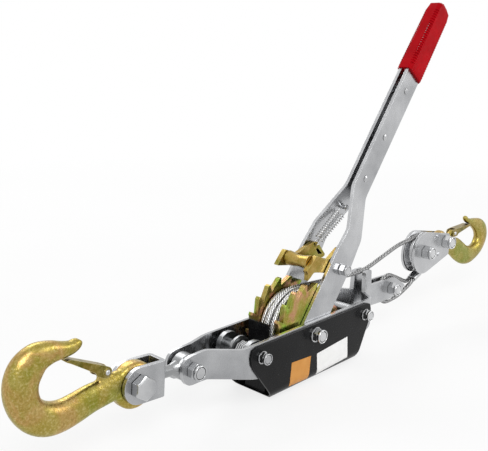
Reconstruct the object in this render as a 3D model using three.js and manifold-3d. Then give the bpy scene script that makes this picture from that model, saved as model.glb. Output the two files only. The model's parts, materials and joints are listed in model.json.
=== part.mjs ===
// Come along winch: a hand cable puller with a double ratchet drum, a forked lever handle,
// a swivelling front hook and a travelling pulley block with a second hook.
// Millimetres. +X runs from the front hook to the pulley block, +Y away from the nut side, +Z up.
// The origin is on the flat underside of the lower guard, straight below the drum axle.
import * as THREE from 'three';
import { mergeVertices } from 'three/addons/utils/BufferGeometryUtils.js';
import Module from 'manifold-3d';

const wasm = await Module();
wasm.setup();

// ---------------------------------------------------------------- driving dimensions
const clearance = 0.3; // gap between neighbouring pieces that touch
const runningFit = 0.3; // radial play of a shaft in its hole
const axleHeight = 50.5; // axle above the underside of the guard

const plateThickness = 3;
const bodyHalfWidth = 27; // outside of the side plates round the drum
const noseHalfWidth = 11.5; // outside of the side plates at the swivel
const tailHalfWidth = 7.3; // outside of the side plates at the cable anchor
const plateTop = 13;
const plateBottom = -22;
const noseBend = [-131, -100]; // where the plates leave the nose and reach the body
const tailBend = [100, 112.5];
const noseTip = -160;
const tailTip = 198;
const tabHeight = 35.5; // top of the two cable tabs
const tabSpan = [111.5, 126.5];

const guardThickness = 1.6;
const guardTop = 10.4;
const guardFold = 12; // outer radius of the fold between wall and floor
const guardFront = -91.5;
const guardRear = 95.5;
const guardFloor = [-58.4, 71.7];
const baffleTop = [19, 8]; // front and rear cable baffles

const axleRadius = 5;
const frameBoltRadius = 4;
const noseBoltRadius = 5;
const clevisBoltRadius = 7;
const blockBoltRadius = 5.5; // sheave and rear hook bolts
const pawlShaft = [-77.5, -0.6];
const rearBolt = [84, -1];
const noseBolt = [-147, 3.5];
const anchorBolt = [167, 4];
const spacerRadius = 6;

const ropeRadius = 2.5;
const ropeGap = 0.5; // between neighbouring turns
const drumHalfWidth = 14; // between the ratchet wheels
const coreRadius = 28;
const hubRadius = 12;
const teeth = 18;
const tipRadius = 49.5;
const rootRadius = 42;
const faceAngle = 93.6; // a steep tooth face, degrees up from +X
const laminations = 3;
const laminationThickness = 1.77;
const laminationGap = 0.1;

const handleLean = 38; // degrees from upright towards the pulley
const barThickness = 3.6;
const barWidth = 28;
const forkWidth = 33; // width of the bars round the axle
const forkBend = [112, 161]; // distances from the axle of the two bends
const barGap = 5; // between the two bars under the grip
const gripStart = 312;
const gripEnd = 409;
const rivetPlaces = [177, 230, gripStart - 21];
const pawlPivot = [3, 73]; // across and along the handle
const springAnchor = [1.5, 141];

const drivePawlLift = 11.4; // degrees the drive pawl stands clear of the teeth
const holdPawlLift = 7.6;
const pawlTip = 43.3; // radius of a pawl's point when it is in the teeth

const chainPitch = 4; // degrees the front swivel points up
const clevisReach = 57; // nose bolt to clevis bolt
const clevisHalfWidth = 11.2;
const clevisThickness = 4;
const clevisHeight = 32;
const swivelEyeRadius = 12.3;
const stemRadius = 5.2;

const frontEye = { radius: 20.2, thickness: 13.4, drop: 1.8 }; // the eye hangs this far below its bolt
const rearEye = { radius: 13.5, thickness: 11, drop: 0.6 };
const frontHookTurn = -1.5; // degrees, against the photographed set of the hook
const rearHookTurn = -23;
const latchHalfWidth = 4.8;
const lugHalfWidth = 3;

const sheaveCentre = [236, 34.5];
const sheaveRadius = 24.6;
const sheaveHalfWidth = 5.5;
const ropeOnSheave = 20; // radius of the cable's middle on the sheave
const blockThickness = 3;
const blockCheekRadius = 25.6;
const blockCheekCentre = [0.8, -1.7]; // from the sheave's centre
const rearHookBolt = [47.3, 4.5]; // from the sheave's centre

const guidePoint = [106.5, 34]; // the cable between the tabs
const eyeCentre = [170, 1.5];
const eyeRadius = 16; // middle of the cable round the thimble
const ferrulePlace = [229.9, 4];
const ferruleLength = 15;

// ---------------------------------------------------------------- materials
const metal = (color, roughness, metalness = 0.9) =>
  new THREE.MeshStandardMaterial({ color, roughness, metalness });
const zinc = metal(0xc4c7ca, 0.34);
const brightZinc = metal(0xdadcde, 0.22);
const blackPaint = metal(0x101011, 0.28, 0.1);
const yellowZinc = metal(0xb9a23c, 0.33);
const ropeSteel = metal(0xa3a6a8, 0.4);
const springSteel = metal(0xb4b7ba, 0.3);
const redGrip = metal(0xb5121b, 0.5, 0);

// ---------------------------------------------------------------- solid helpers
const degrees = THREE.MathUtils.degToRad;

function solidOf(geometry) {
  const bare = geometry.clone();
  bare.deleteAttribute('normal');
  bare.deleteAttribute('uv');
  const welded = mergeVertices(bare, 1e-4);
  const vertProperties = Float32Array.from(welded.attributes.position.array);
  const triVerts = Uint32Array.from(welded.index.array);
  return new wasm.Manifold(new wasm.Mesh({ numProp: 3, vertProperties, triVerts }));
}

function geometryOf(solid) {
  const mesh = solid.getMesh();
  const geometry = new THREE.BufferGeometry();
  geometry.setAttribute('position', new THREE.BufferAttribute(mesh.vertProperties, 3));
  geometry.setIndex(new THREE.BufferAttribute(mesh.triVerts, 1));
  geometry.computeVertexNormals();
  return geometry;
}

// A closed outline from corners [x, y, setback]; a setback rounds its corner.
function outline(corners) {
  const shape = new THREE.Shape();
  corners.forEach(([x, y, setback = 0], i) => {
    const previous = corners[(i + corners.length - 1) % corners.length];
    const next = corners[(i + 1) % corners.length];
    const back = new THREE.Vector2(previous[0] - x, previous[1] - y);
    const ahead = new THREE.Vector2(next[0] - x, next[1] - y);
    const reach = Math.min(setback, 0.49 * back.length(), 0.49 * ahead.length());
    back.setLength(reach);
    ahead.setLength(reach);
    if (i === 0) shape.moveTo(x + back.x, y + back.y);
    else shape.lineTo(x + back.x, y + back.y);
    if (reach > 0) shape.quadraticCurveTo(x, y, x + ahead.x, y + ahead.y);
  });
  shape.closePath();
  return shape;
}

function extruded(shape, depth, curveSegments) {
  return new THREE.ExtrudeGeometry(shape, { depth, bevelEnabled: false, curveSegments });
}

// An outline in x and z, given thickness from y = low to y = high.
function acrossY(shape, low, high, curveSegments = 3) {
  const geometry = extruded(shape, high - low, curveSegments);
  return solidOf(geometry.rotateX(Math.PI / 2).translate(0, high, 0));
}

// An outline in x and y, given height from z = low to z = high.
function alongZ(shape, low, high, curveSegments = 3) {
  return solidOf(extruded(shape, high - low, curveSegments).translate(0, 0, low));
}

// An outline in y and z, given length from x = low to x = high.
function alongX(shape, low, high, curveSegments = 3) {
  const turn = new THREE.Matrix4().makeBasis(
    new THREE.Vector3(0, 1, 0), new THREE.Vector3(0, 0, 1), new THREE.Vector3(1, 0, 0));
  return solidOf(extruded(shape, high - low, curveSegments).applyMatrix4(turn).translate(low, 0, 0));
}

function block(xLow, xHigh, yLow, yHigh, zLow, zHigh) {
  const geometry = new THREE.BoxGeometry(xHigh - xLow, yHigh - yLow, zHigh - zLow);
  return solidOf(geometry.translate((xLow + xHigh) / 2, (yLow + yHigh) / 2, (zLow + zHigh) / 2));
}

// A round bar along Y at [x, z].
function rod([x, z], radius, low, high, segments = 14) {
  const geometry = new THREE.CylinderGeometry(radius, radius, high - low, segments);
  return solidOf(geometry.translate(x, (low + high) / 2, z));
}

// A turned piece about the Y axis through [x, z] from a profile of [radius, y].
function turned([x, z], profile, segments = 20) {
  const points = profile.map(([r, y]) => new THREE.Vector2(r, y));
  return solidOf(new THREE.LatheGeometry(points, segments).translate(x, 0, z));
}

// A hexagon along Y whose outer end, at y = high or y = low, is chamfered.
function hexagon(place, acrossFlats, low, high, outward) {
  const corner = acrossFlats / Math.sqrt(3);
  const edge = corner * 0.88;
  const slope = (corner - edge) * 0.8;
  const profile = outward > 0
    ? [[0, low], [corner, low], [corner, high - slope], [edge, high], [0, high]]
    : [[0, low], [edge, low], [corner, low + slope], [corner, high], [0, high]];
  return turned(place, profile, 6);
}

// A tube or bar through rings of points, each ring a closed loop in the same order.
function loft(rings) {
  const count = rings[0].length;
  const positions = rings.flat().flatMap((p) => [p.x, p.y, p.z]);
  const index = [];
  for (let i = 0; i + 1 < rings.length; i += 1) {
    for (let j = 0; j < count; j += 1) {
      const a = i * count + j;
      const b = i * count + (j + 1) % count;
      index.push(a, b, a + count, b, b + count, a + count);
    }
  }
  const end = (rings.length - 1) * count;
  for (let j = 1; j + 1 < count; j += 1) {
    index.push(0, j + 1, j);
    index.push(end, end + j, end + j + 1);
  }
  const geometry = new THREE.BufferGeometry();
  geometry.setAttribute('position', new THREE.Float32BufferAttribute(positions, 3));
  geometry.setIndex(index);
  geometry.computeVertexNormals();
  return geometry;
}

// Rings round a list of points, carried along without twist.
function ringsAlong(points, radius, sides, side = new THREE.Vector3(0, 1, 0)) {
  let across = side.clone();
  return points.map((point, i) => {
    const ahead = points[Math.min(i + 1, points.length - 1)];
    const behind = points[Math.max(i - 1, 0)];
    const tangent = ahead.clone().sub(behind).normalize();
    across = across.sub(tangent.clone().multiplyScalar(across.dot(tangent))).normalize();
    const up = tangent.clone().cross(across);
    return Array.from({ length: sides }, (_, j) => {
      const angle = (2 * Math.PI * j) / sides;
      return point.clone()
        .addScaledVector(across, radius * Math.cos(angle))
        .addScaledVector(up, radius * Math.sin(angle));
    });
  });
}

const tube = (points, radius, sides, side) => loft(ringsAlong(points, radius, sides, side));
const at = (x, y, z) => new THREE.Vector3(x, y, z);

// Points smoothed through [x, z] pairs in the middle plane, or [x, z, y] beside it.
function route(pairs, steps) {
  const curve = new THREE.CatmullRomCurve3(pairs.map(([x, z, y = 0]) => at(x, y, z)), false, 'centripetal');
  return curve.getSpacedPoints(steps);
}

function piece(parent, name, body, material) {
  const geometry = body instanceof THREE.BufferGeometry ? body : geometryOf(body);
  const mesh = new THREE.Mesh(geometry, material);
  mesh.name = name;
  parent.add(mesh);
  return mesh;
}

const puller = new THREE.Group();
const machine = new THREE.Group(); // everything below is measured from the drum axle
machine.position.z = axleHeight;
puller.add(machine);

// ---------------------------------------------------------------- fasteners
const headHeight = (radius) => radius * 1.3;
const flatsOf = (radius) => radius * 2.6;

// A bolt along Y: its head outside y = high, its plain end past the nut at y = low.
function bolt(place, radius, low, high, tail) {
  const shank = rod(place, radius, low - tail, high + 0.5);
  return shank.add(hexagon(place, flatsOf(radius), high, high + headHeight(radius), 1));
}

// A lock nut, its seat at y = seat and its collar towards -Y, with or without a round flange.
function nutBody(place, radius, seat, flanged = true) {
  const height = radius * 1.5;
  const flats = flatsOf(radius);
  const washer = rod(place, flats * 0.6, seat - radius * 0.3, seat, 12);
  const body = hexagon(place, flats, seat - height, seat - (flanged ? 0.1 : 0), -1);
  const collar = rod(place, flats * 0.4, seat - height - radius * 0.35, seat - height + 0.5, 12);
  return flanged ? washer.add(body).add(collar) : body.add(collar);
}

function lockNut(place, radius, seat) {
  return nutBody(place, radius, seat).subtract(rod(place, radius + runningFit, seat - 40, seat + 5));
}

// Bolt and nut as one piece, clamped between y = low and y = high.
function clampBolt(place, radius, low, high, flanged = false) {
  return bolt(place, radius, low, high, radius * 2.2).add(nutBody(place, radius, low, flanged));
}

// ---------------------------------------------------------------- frame: bent side plates
const outsideGuard = bodyHalfWidth + clearance + guardThickness;

// The plate's path seen from above, as distance from the middle plane.
const platePath = [
  [noseTip - 5, noseHalfWidth], [noseBend[0], noseHalfWidth], [noseBend[1], bodyHalfWidth],
  [tailBend[0], bodyHalfWidth], [tailBend[1], tailHalfWidth], [tailTip + 5, tailHalfWidth],
];

// Offsets a path sideways by a thickness, with mitred bends.
function inset(path, thickness) {
  return path.map(([x, y], i) => {
    const before = path[Math.max(i - 1, 0)];
    const after = path[Math.min(i + 1, path.length - 1)];
    const first = Math.atan2(y - before[1], x - before[0]);
    const second = Math.atan2(after[1] - y, after[0] - x);
    const heading = i === 0 ? second : i === path.length - 1 ? first : (first + second) / 2;
    const stretch = i === 0 || i === path.length - 1 ? 1 : Math.cos((second - first) / 2);
    const reach = thickness / stretch;
    return [x + Math.sin(heading) * reach, y - Math.cos(heading) * reach];
  });
}

const plateOutline = [
  [noseTip, 9.5, 5], [noseTip + 1.5, -4.5, 4], [noseTip + 8, -10.5, 4], [noseBend[0], -10.5],
  [noseBend[1], plateBottom + 6, 6], [noseBend[1] + 18, plateBottom, 6],
  [tailBend[0] - 8, plateBottom, 6], [tailBend[1] + 1, -6.5, 4], [anchorBolt[0] - 14, -8.5, 4],
  [anchorBolt[0] + 12, -7, 5], [tailTip, 1, 3], [anchorBolt[0] + 7, 16, 4],
  [tabSpan[1], 17.5, 2], [tabSpan[1] - 0.5, tabHeight, 2.5], [tabSpan[0], tabHeight, 2.5],
  [tabSpan[0] - 1, plateTop, 1], [tailBend[0], plateTop], [noseBend[1], plateTop - 0.5],
  [noseBend[0], 17.5, 4], [noseTip + 6, 16.5, 5],
];

const frameHoles = [
  [[0, 0], axleRadius], [pawlShaft, frameBoltRadius], [rearBolt, frameBoltRadius],
  [noseBolt, noseBoltRadius], [anchorBolt, noseBoltRadius],
];

function sidePlate(sign) {
  const outer = platePath.map(([x, y]) => [x, sign * y, 5]);
  const inner = inset(platePath, plateThickness).map(([x, y]) => [x, sign * y, 3]);
  const plan = alongZ(outline([...outer, ...inner.reverse()]), plateBottom - 5, tabHeight + 5, 2);
  const side = acrossY(outline(plateOutline), -bodyHalfWidth - 5, bodyHalfWidth + 5, 2);
  let plate = plan.intersect(side);
  frameHoles.forEach(([place, radius]) => {
    plate = plate.subtract(rod(place, radius + runningFit, -40, 40));
  });
  return plate;
}

piece(machine, 'side_plate_near', sidePlate(-1), zinc);
piece(machine, 'side_plate_far', sidePlate(1), zinc);

// ---------------------------------------------------------------- lower guard
const wheelOuter = drumHalfWidth + laminations * (laminationThickness + laminationGap);

function lowerGuard() {
  const wall = outsideGuard;
  const floor = -axleHeight;
  const section = new THREE.Shape();
  const fold = guardFold - guardThickness;
  const foldY = wall - guardFold;
  const foldZ = floor + guardFold;
  section.moveTo(-wall, guardTop + 5);
  section.lineTo(-wall, foldZ);
  section.absarc(-foldY, foldZ, guardFold, Math.PI, 1.5 * Math.PI, false);
  section.absarc(foldY, foldZ, guardFold, 1.5 * Math.PI, 2 * Math.PI, false);
  section.lineTo(wall, guardTop + 5);
  section.lineTo(wall - guardThickness, guardTop + 5);
  section.absarc(foldY, foldZ, fold, 2 * Math.PI, 1.5 * Math.PI, true);
  section.absarc(-foldY, foldZ, fold, 1.5 * Math.PI, Math.PI, true);
  section.lineTo(-wall + guardThickness, guardTop + 5);
  section.closePath();
  const trough = alongX(section, guardFront - 2, guardRear + 2, 3);
  const side = outline([
    [guardFront, guardTop, 11], [guardFront, -6, 7], [guardFloor[0], floor, 2],
    [guardFloor[1], floor, 2], [guardRear, -5, 6], [guardRear, guardTop, 9],
  ]);
  let guard = trough.intersect(acrossY(side, -wall - 5, wall + 5, 2));
  // two slots in the floor for the ratchet wheels
  [-1, 1].forEach((sign) => {
    const low = Math.min(sign * (drumHalfWidth - 0.6), sign * (wheelOuter + 0.6));
    const high = Math.max(sign * (drumHalfWidth - 0.6), sign * (wheelOuter + 0.6));
    guard = guard.subtract(block(-44, 44, low, high, floor - 2, floor + 5));
  });
  // the middle strip of the floor turns up in front of and behind the winding
  const half = drumHalfWidth - 1;
  const front = [
    [guardFloor[0] + 2, floor], [guardFloor[0] + 2 + guardThickness, floor],
    [guardFloor[0] + 8.5, -16, 8], [guardFloor[0] + 8.5, baffleTop[0]],
    [guardFloor[0] + 8.5 - guardThickness, baffleTop[0]], [guardFloor[0] + 8.5 - guardThickness, -16, 8],
  ];
  const rear = [
    [guardFloor[1] - 2, floor], [guardFloor[1] - 2 - guardThickness, floor], [54, -14, 8],
    [54, baffleTop[1]], [54 + guardThickness, baffleTop[1]], [54 + guardThickness, -14, 8],
  ];
  guard = guard.add(acrossY(outline(front), -half, half, 2));
  guard = guard.add(acrossY(outline(rear.reverse()), -half, half, 2));
  [[[0, 0], axleRadius], [pawlShaft, frameBoltRadius], [rearBolt, frameBoltRadius]]
    .forEach(([place, radius]) => {
      guard = guard.subtract(rod(place, radius + runningFit, -40, 40));
    });
  return guard;
}

piece(machine, 'lower_guard', lowerGuard(), blackPaint);

// ---------------------------------------------------------------- frame bolts
const guardFace = outsideGuard + clearance;
piece(machine, 'axle_bolt', bolt([0, 0], axleRadius, -guardFace, guardFace, 12), brightZinc);
piece(machine, 'axle_nut', lockNut([0, 0], axleRadius, -guardFace), brightZinc);
piece(machine, 'pawl_shaft_bolt', bolt(pawlShaft, frameBoltRadius, -guardFace, guardFace, 9), brightZinc);
piece(machine, 'pawl_shaft_nut', lockNut(pawlShaft, frameBoltRadius, -guardFace), brightZinc);
piece(machine, 'rear_frame_bolt',
  clampBolt(rearBolt, frameBoltRadius, -guardFace, guardFace, true), brightZinc);
piece(machine, 'nose_bolt',
  clampBolt(noseBolt, noseBoltRadius, -noseHalfWidth - clearance, noseHalfWidth + clearance), brightZinc);
piece(machine, 'anchor_bolt',
  clampBolt(anchorBolt, noseBoltRadius, -tailHalfWidth - clearance, tailHalfWidth + clearance), brightZinc);

const insideBody = bodyHalfWidth - plateThickness;
const spacer = rod(rearBolt, spacerRadius, -insideBody + clearance, insideBody - clearance)
  .subtract(rod(rearBolt, frameBoltRadius + runningFit, -40, 40));
piece(machine, 'rear_spacer', spacer, zinc);

// ---------------------------------------------------------------- drum and ratchet wheels
const toothPitch = 360 / teeth;

// Saw teeth: a steep face, a short land and a straight back down to the next root.
function ratchetShape() {
  const shape = new THREE.Shape();
  for (let k = 0; k < teeth; k += 1) {
    const start = faceAngle + k * toothPitch;
    const marks = [[rootRadius, start], [tipRadius, start - 1], [tipRadius, start + 2.5]];
    marks.forEach(([radius, angle], i) => {
      const x = radius * Math.cos(degrees(angle));
      const z = radius * Math.sin(degrees(angle));
      if (k === 0 && i === 0) shape.moveTo(x, z);
      else shape.lineTo(x, z);
    });
  }
  shape.closePath();
  return shape;
}

const drum = new THREE.Group();
machine.add(drum);
['near', 'far'].forEach((side, sideIndex) => {
  const sign = sideIndex === 0 ? -1 : 1;
  for (let k = 0; k < laminations; k += 1) {
    const inner = drumHalfWidth + laminationGap + k * (laminationThickness + laminationGap);
    const outer = inner + laminationThickness;
    const plate = acrossY(ratchetShape(), Math.min(sign * inner, sign * outer),
      Math.max(sign * inner, sign * outer));
    piece(drum, `ratchet_${side}_${k + 1}`,
      plate.subtract(rod([0, 0], hubRadius + runningFit, -40, 40, 14)), yellowZinc);
  }
});

const hubEnd = wheelOuter + 0.2;
const coreProfile = [
  [axleRadius + runningFit, -hubEnd], [hubRadius, -hubEnd], [hubRadius, -drumHalfWidth],
  [coreRadius, -drumHalfWidth], [coreRadius, drumHalfWidth], [hubRadius, drumHalfWidth],
  [hubRadius, hubEnd], [axleRadius + runningFit, hubEnd], [axleRadius + runningFit, -hubEnd],
];
piece(drum, 'drum_core', turned([0, 0], coreProfile, 14), blackPaint);

// ---------------------------------------------------------------- cable
const ropePitch = 2 * ropeRadius + ropeGap;
const firstLayer = coreRadius + ropeRadius + 0.2;
const lastLayer = firstLayer + 2 * ropePitch;

// Where the cable leaves the drum on a straight line to the guide.
const guideDistance = Math.hypot(guidePoint[0], guidePoint[1]);
const guideAngle = Math.atan2(guidePoint[1], guidePoint[0]);
const leaveAngle = guideAngle + Math.acos(lastLayer / guideDistance);

// The winding as one strand: a close first layer, an open second layer that crosses it,
// and a last turn that leaves over the top. Each stretch gives turns, radii and y from end to end.
function windingPoints() {
  const edge = drumHalfWidth - ropeRadius - clearance;
  const stretches = [
    { turns: 3.5, radii: [firstLayer, firstLayer], y: [-edge, edge] },
    { turns: 0.5, radii: [firstLayer, firstLayer + ropePitch], y: [edge, edge] },
    { turns: 3, radii: [firstLayer + ropePitch, firstLayer + ropePitch], y: [edge, -edge] },
    { turns: 0.5, radii: [firstLayer + ropePitch, lastLayer], y: [-edge, -edge] },
    { turns: 1.5, radii: [lastLayer, lastLayer], y: [-edge, 0] },
  ];
  const total = stretches.reduce((sum, { turns }) => sum + turns, 0);
  const points = [];
  let done = 0;
  stretches.forEach(({ turns, radii, y }, index) => {
    const steps = turns * 24;
    for (let i = index === 0 ? 0 : 1; i <= steps; i += 1) {
      const share = i / steps;
      const angle = leaveAngle + 2 * Math.PI * (total - done - turns * share);
      const radius = THREE.MathUtils.lerp(radii[0], radii[1], share);
      const across = THREE.MathUtils.lerp(y[0], y[1], share);
      points.push(at(radius * Math.cos(angle), across, radius * Math.sin(angle)));
    }
    done += turns;
  });
  return points;
}

const winding = windingPoints();
const leaveDirection = at(Math.sin(leaveAngle), 0, -Math.cos(leaveAngle));
const leavePoint = winding[winding.length - 1];
winding.push(leavePoint.clone().addScaledVector(leaveDirection, 2 * ropeRadius));

// The least gap between turns, measured between points at least half a turn apart.
function leastGap(points, radius, apart) {
  let least = Infinity;
  points.forEach((a, i) => {
    for (let j = i + apart; j < points.length; j += 1) least = Math.min(least, a.distanceTo(points[j]));
  });
  return least - 2 * radius;
}
console.log('least gap in the winding', leastGap(winding, ropeRadius, 12).toFixed(2));
piece(drum, 'cable_winding', tube(winding, ropeRadius, 6), ropeSteel);

const onSheave = (angle, radius = ropeOnSheave) => [
  sheaveCentre[0] + radius * Math.cos(degrees(angle)),
  sheaveCentre[1] + radius * Math.sin(degrees(angle)),
];
const sheaveStart = 96;
const sheaveEnd = -55;
const runStart = winding[winding.length - 1].clone().addScaledVector(leaveDirection, clearance);

const upperRun = [
  [runStart.x, runStart.z],
  [runStart.x + 50, runStart.z + 50 * leaveDirection.z / leaveDirection.x],
  guidePoint, [118, 34.4], [130, 36.2], [161, 43.6], [190, 50.2], onSheave(112, 20.5),
  onSheave(sheaveStart + 0.8),
];
piece(machine, 'cable_upper_run', tube(route(upperRun, 20), ropeRadius, 8), ropeSteel);

const wrapPoints = Array.from({ length: 17 }, (_, i) => {
  const [x, z] = onSheave(THREE.MathUtils.lerp(sheaveStart, sheaveEnd, i / 16));
  return at(x, 0, z);
});

const ferruleTurn = degrees(20); // the ferrule points up towards the sheave
const alongFerrule = (distance, side) => [
  ferrulePlace[0] + distance * Math.cos(ferruleTurn) - side * Math.sin(ferruleTurn),
  ferrulePlace[1] + distance * Math.sin(ferruleTurn) + side * Math.cos(ferruleTurn),
];
const strandOffset = ropeRadius + 0.25;
const halfFerrule = ferruleLength / 2;
const lowerRun = [
  onSheave(sheaveEnd - 0.8), onSheave(sheaveEnd - 10, 20.6), [243.2, 11.2],
  alongFerrule(halfFerrule + 4.4, 0.3), alongFerrule(halfFerrule + clearance + 0.4, 0),
];
piece(machine, 'cable_lower_run', tube(route(lowerRun, 8), ropeRadius, 8), ropeSteel);

const onEye = (angle, radius = eyeRadius) => [
  eyeCentre[0] + radius * Math.cos(degrees(angle)),
  eyeCentre[1] + radius * Math.sin(degrees(angle)),
];
const eyeRoute = [
  [...alongFerrule(-halfFerrule - 0.7, 0), strandOffset], [...alongFerrule(-halfFerrule - 4, 0.3), 2.7],
  [...alongFerrule(-halfFerrule - 9, 1.9), 2.1],
  [199, 6, 0.8], [186, 12],
  ...[85, 110, 135, 160, 185, 210, 235, 260].map((angle) => onEye(angle)),
  [181, -14.4], [194, -12.2, -0.6], [206, -7.6, -1.5], [...alongFerrule(-halfFerrule - 7, -1.6), -2.3],
  [...alongFerrule(-halfFerrule - 4, -0.4), -2.7], [...alongFerrule(-halfFerrule - 0.7, 0), -strandOffset],
];
piece(machine, 'cable_eye', tube(route(eyeRoute, 28), ropeRadius, 8), ropeSteel);

// The thimble is a pear-shaped band inside the eye.
function thimble() {
  const outerRadius = eyeRadius - ropeRadius - 0.4;
  const innerRadius = outerRadius - 1.2;
  const pear = (radius, tip) => {
    const shape = new THREE.Shape();
    const [x, z] = eyeCentre;
    shape.absarc(x, z, radius, degrees(58), degrees(302), false);
    shape.lineTo(x + tip, z);
    shape.closePath();
    return shape;
  };
  const half = tailHalfWidth - plateThickness - 0.5;
  return acrossY(pear(outerRadius, 27.5), -half, half, 6)
    .subtract(acrossY(pear(innerRadius, 23.5), -half - 1, half + 1, 6));
}
piece(machine, 'thimble', thimble(), brightZinc);

function ferrule() {
  const half = strandOffset + ropeRadius + 0.4; // the two strands lie side by side across the sleeve
  const high = ropeRadius + 0.8;
  const shape = outline([[-half, -high, 3], [half, -high, 3], [half, high, 3], [-half, high, 3]]);
  return alongX(shape, -halfFerrule, halfFerrule);
}
const ferruleMesh = piece(machine, 'ferrule', ferrule(), brightZinc);
ferruleMesh.position.set(ferrulePlace[0], 0, ferrulePlace[1]);
ferruleMesh.rotation.y = -ferruleTurn;

// ---------------------------------------------------------------- holding pawls on the front bolt
const wheelInner = drumHalfWidth + laminationGap;
const pawlHalf = [wheelInner + 0.1, wheelOuter - 0.3]; // both pawls lie in the wheels' planes

// Turns a point about a pivot, clockwise as seen from the nut side.
function turnedAbout([x, z], [px, pz], angle) {
  const c = Math.cos(degrees(angle));
  const s = Math.sin(degrees(angle));
  return [px + (x - px) * c + (z - pz) * s, pz - (x - px) * s + (z - pz) * c];
}
const onWheel = (radius, angle) => [radius * Math.cos(degrees(angle)), radius * Math.sin(degrees(angle))];

const holdFace = faceAngle + 7 * toothPitch; // the tooth that the pawls catch
function holdPawlShape() {
  const catchPoints = [
    onWheel(pawlTip, holdFace - 2.6), onWheel(rootRadius + 4.6, holdFace - 10.5), onWheel(52, holdFace - 17),
  ];
  const [tip, under, heel] = catchPoints.map((p) => turnedAbout(p, pawlShaft, holdPawlLift));
  const [low, lower] = [onWheel(52.5, holdFace - 1.5), onWheel(60, holdFace - 7)]
    .map((p) => turnedAbout(p, pawlShaft, holdPawlLift));
  const [x, z] = pawlShaft;
  return outline([
    tip, [...under, 1], [...heel, 2], [x + 13.5, z + 4, 6], [x + 9, z + 11.5, 6], [x - 3, z + 13.5, 6],
    [x - 12.5, z + 6, 7], [x - 12.5, z - 7, 7], [x - 3, z - 13.5, 7], [x + 9, z - 15, 4],
    [...lower, 3], [...low, 1],
  ].reverse());
}
const holdShape = holdPawlShape();
['near', 'far'].forEach((side, sideIndex) => {
  const low = sideIndex === 0 ? -pawlHalf[1] : pawlHalf[0];
  const high = sideIndex === 0 ? -pawlHalf[0] : pawlHalf[1];
  const plate = acrossY(holdShape, low, high, 2)
    .subtract(rod(pawlShaft, frameBoltRadius + runningFit, -40, 40));
  piece(machine, `hold_pawl_${side}`, plate, zinc);
});

// A sleeve with a flange keeps the two pawls apart; the return spring is wound round its thin end.
const sleeveEnd = pawlHalf[0] - clearance;
const sleeveProfile = [
  [frameBoltRadius + runningFit, -sleeveEnd], [5.4, -sleeveEnd], [5.4, -1], [13, -1], [13, 1.2],
  [6.5, 1.2], [6.5, sleeveEnd], [frameBoltRadius + runningFit, sleeveEnd],
  [frameBoltRadius + runningFit, -sleeveEnd],
];
piece(machine, 'hold_pawl_sleeve', turned(pawlShaft, sleeveProfile, 14), zinc);

// A coil about an axis along Y, with straight ends.
function coil([x, z], radius, wire, turns, low, high, startAngle = 0) {
  const steps = Math.round(turns * 8);
  const points = Array.from({ length: steps + 1 }, (_, i) => {
    const angle = startAngle + (2 * Math.PI * turns * i) / steps;
    return at(x + radius * Math.cos(angle), THREE.MathUtils.lerp(low, high, i / steps),
      z + radius * Math.sin(angle));
  });
  return { points, wire };
}
const returnSpring = coil(pawlShaft, 8.2, 0.9, 4.5, -sleeveEnd + 1.3, -2.4, 0.6);
console.log('least gap in the return spring',
  leastGap(returnSpring.points, returnSpring.wire, 4).toFixed(2));
const springFoot = returnSpring.points[0];
const springTop = returnSpring.points[returnSpring.points.length - 1];
const returnPoints = [
  springFoot.clone().add(at(5, 0, -7)), springFoot.clone().add(at(2.6, 0, -3.4)), ...returnSpring.points,
  springTop.clone().add(at(-1.4, 0, 2.4)), springTop.clone().add(at(-3, 0, 5)),
];
piece(machine, 'hold_pawl_spring', tube(returnPoints, returnSpring.wire, 5), springSteel);

// ---------------------------------------------------------------- handle
const handle = new THREE.Group(); // inside it, x runs across the handle and z along it
handle.rotation.y = degrees(handleLean);
machine.add(handle);

const barEnd = gripEnd - 32; // the bars stop inside the grip
const legInner = wheelOuter + 0.4;
const legOuter = legInner + barThickness;
const gripBarInner = barGap / 2;

// The bar seen on edge: [distance along, distance from the middle plane] of its inner face.
const barPath = [
  [-forkWidth, legOuter], [forkBend[0], legOuter], [forkBend[1], gripBarInner + barThickness],
  [barEnd, gripBarInner + barThickness],
];

function handleBar(sign) {
  const outer = barPath.map(([along, y]) => [sign * y, along, 4]);
  const inner = inset(barPath, barThickness).map(([along, y]) => [sign * y, along, 3]);
  const loop = [...outer, ...inner.reverse()];
  const edgeView = alongX(outline(loop), -forkWidth, forkWidth, 2);
  const half = barWidth / 2;
  const wide = forkWidth / 2;
  const face = outline([
    [-wide, -wide, wide * 0.8], [wide, -wide, wide * 0.8], [wide, 84, 6], [half, forkBend[0] - 6, 6],
    [half, barEnd, 4], [-half, barEnd, 4], [-half, forkBend[0] - 6, 6], [-wide, 84, 6],
  ]);
  let bar = edgeView.intersect(acrossY(face, -40, 40, 2));
  const holes = [[[0, 0], axleRadius], [pawlPivot, frameBoltRadius],
    ...rivetPlaces.map((along) => [[0, along], 2.5])];
  holes.forEach(([place, radius]) => {
    bar = bar.subtract(rod(place, radius + runningFit, -40, 40));
  });
  return bar;
}

// The far bar carries the pin that the two pawl springs hook on.
function springPin() {
  const share = (springAnchor[1] - forkBend[0]) / (forkBend[1] - forkBend[0]);
  const face = THREE.MathUtils.lerp(legOuter, gripBarInner + barThickness, share);
  return rod(springAnchor, 2.2, face - barThickness - 8.5, face - 1, 12);
}
piece(handle, 'handle_bar_near', handleBar(-1), zinc);
piece(handle, 'handle_bar_far', handleBar(1).add(springPin()), zinc);

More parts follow.
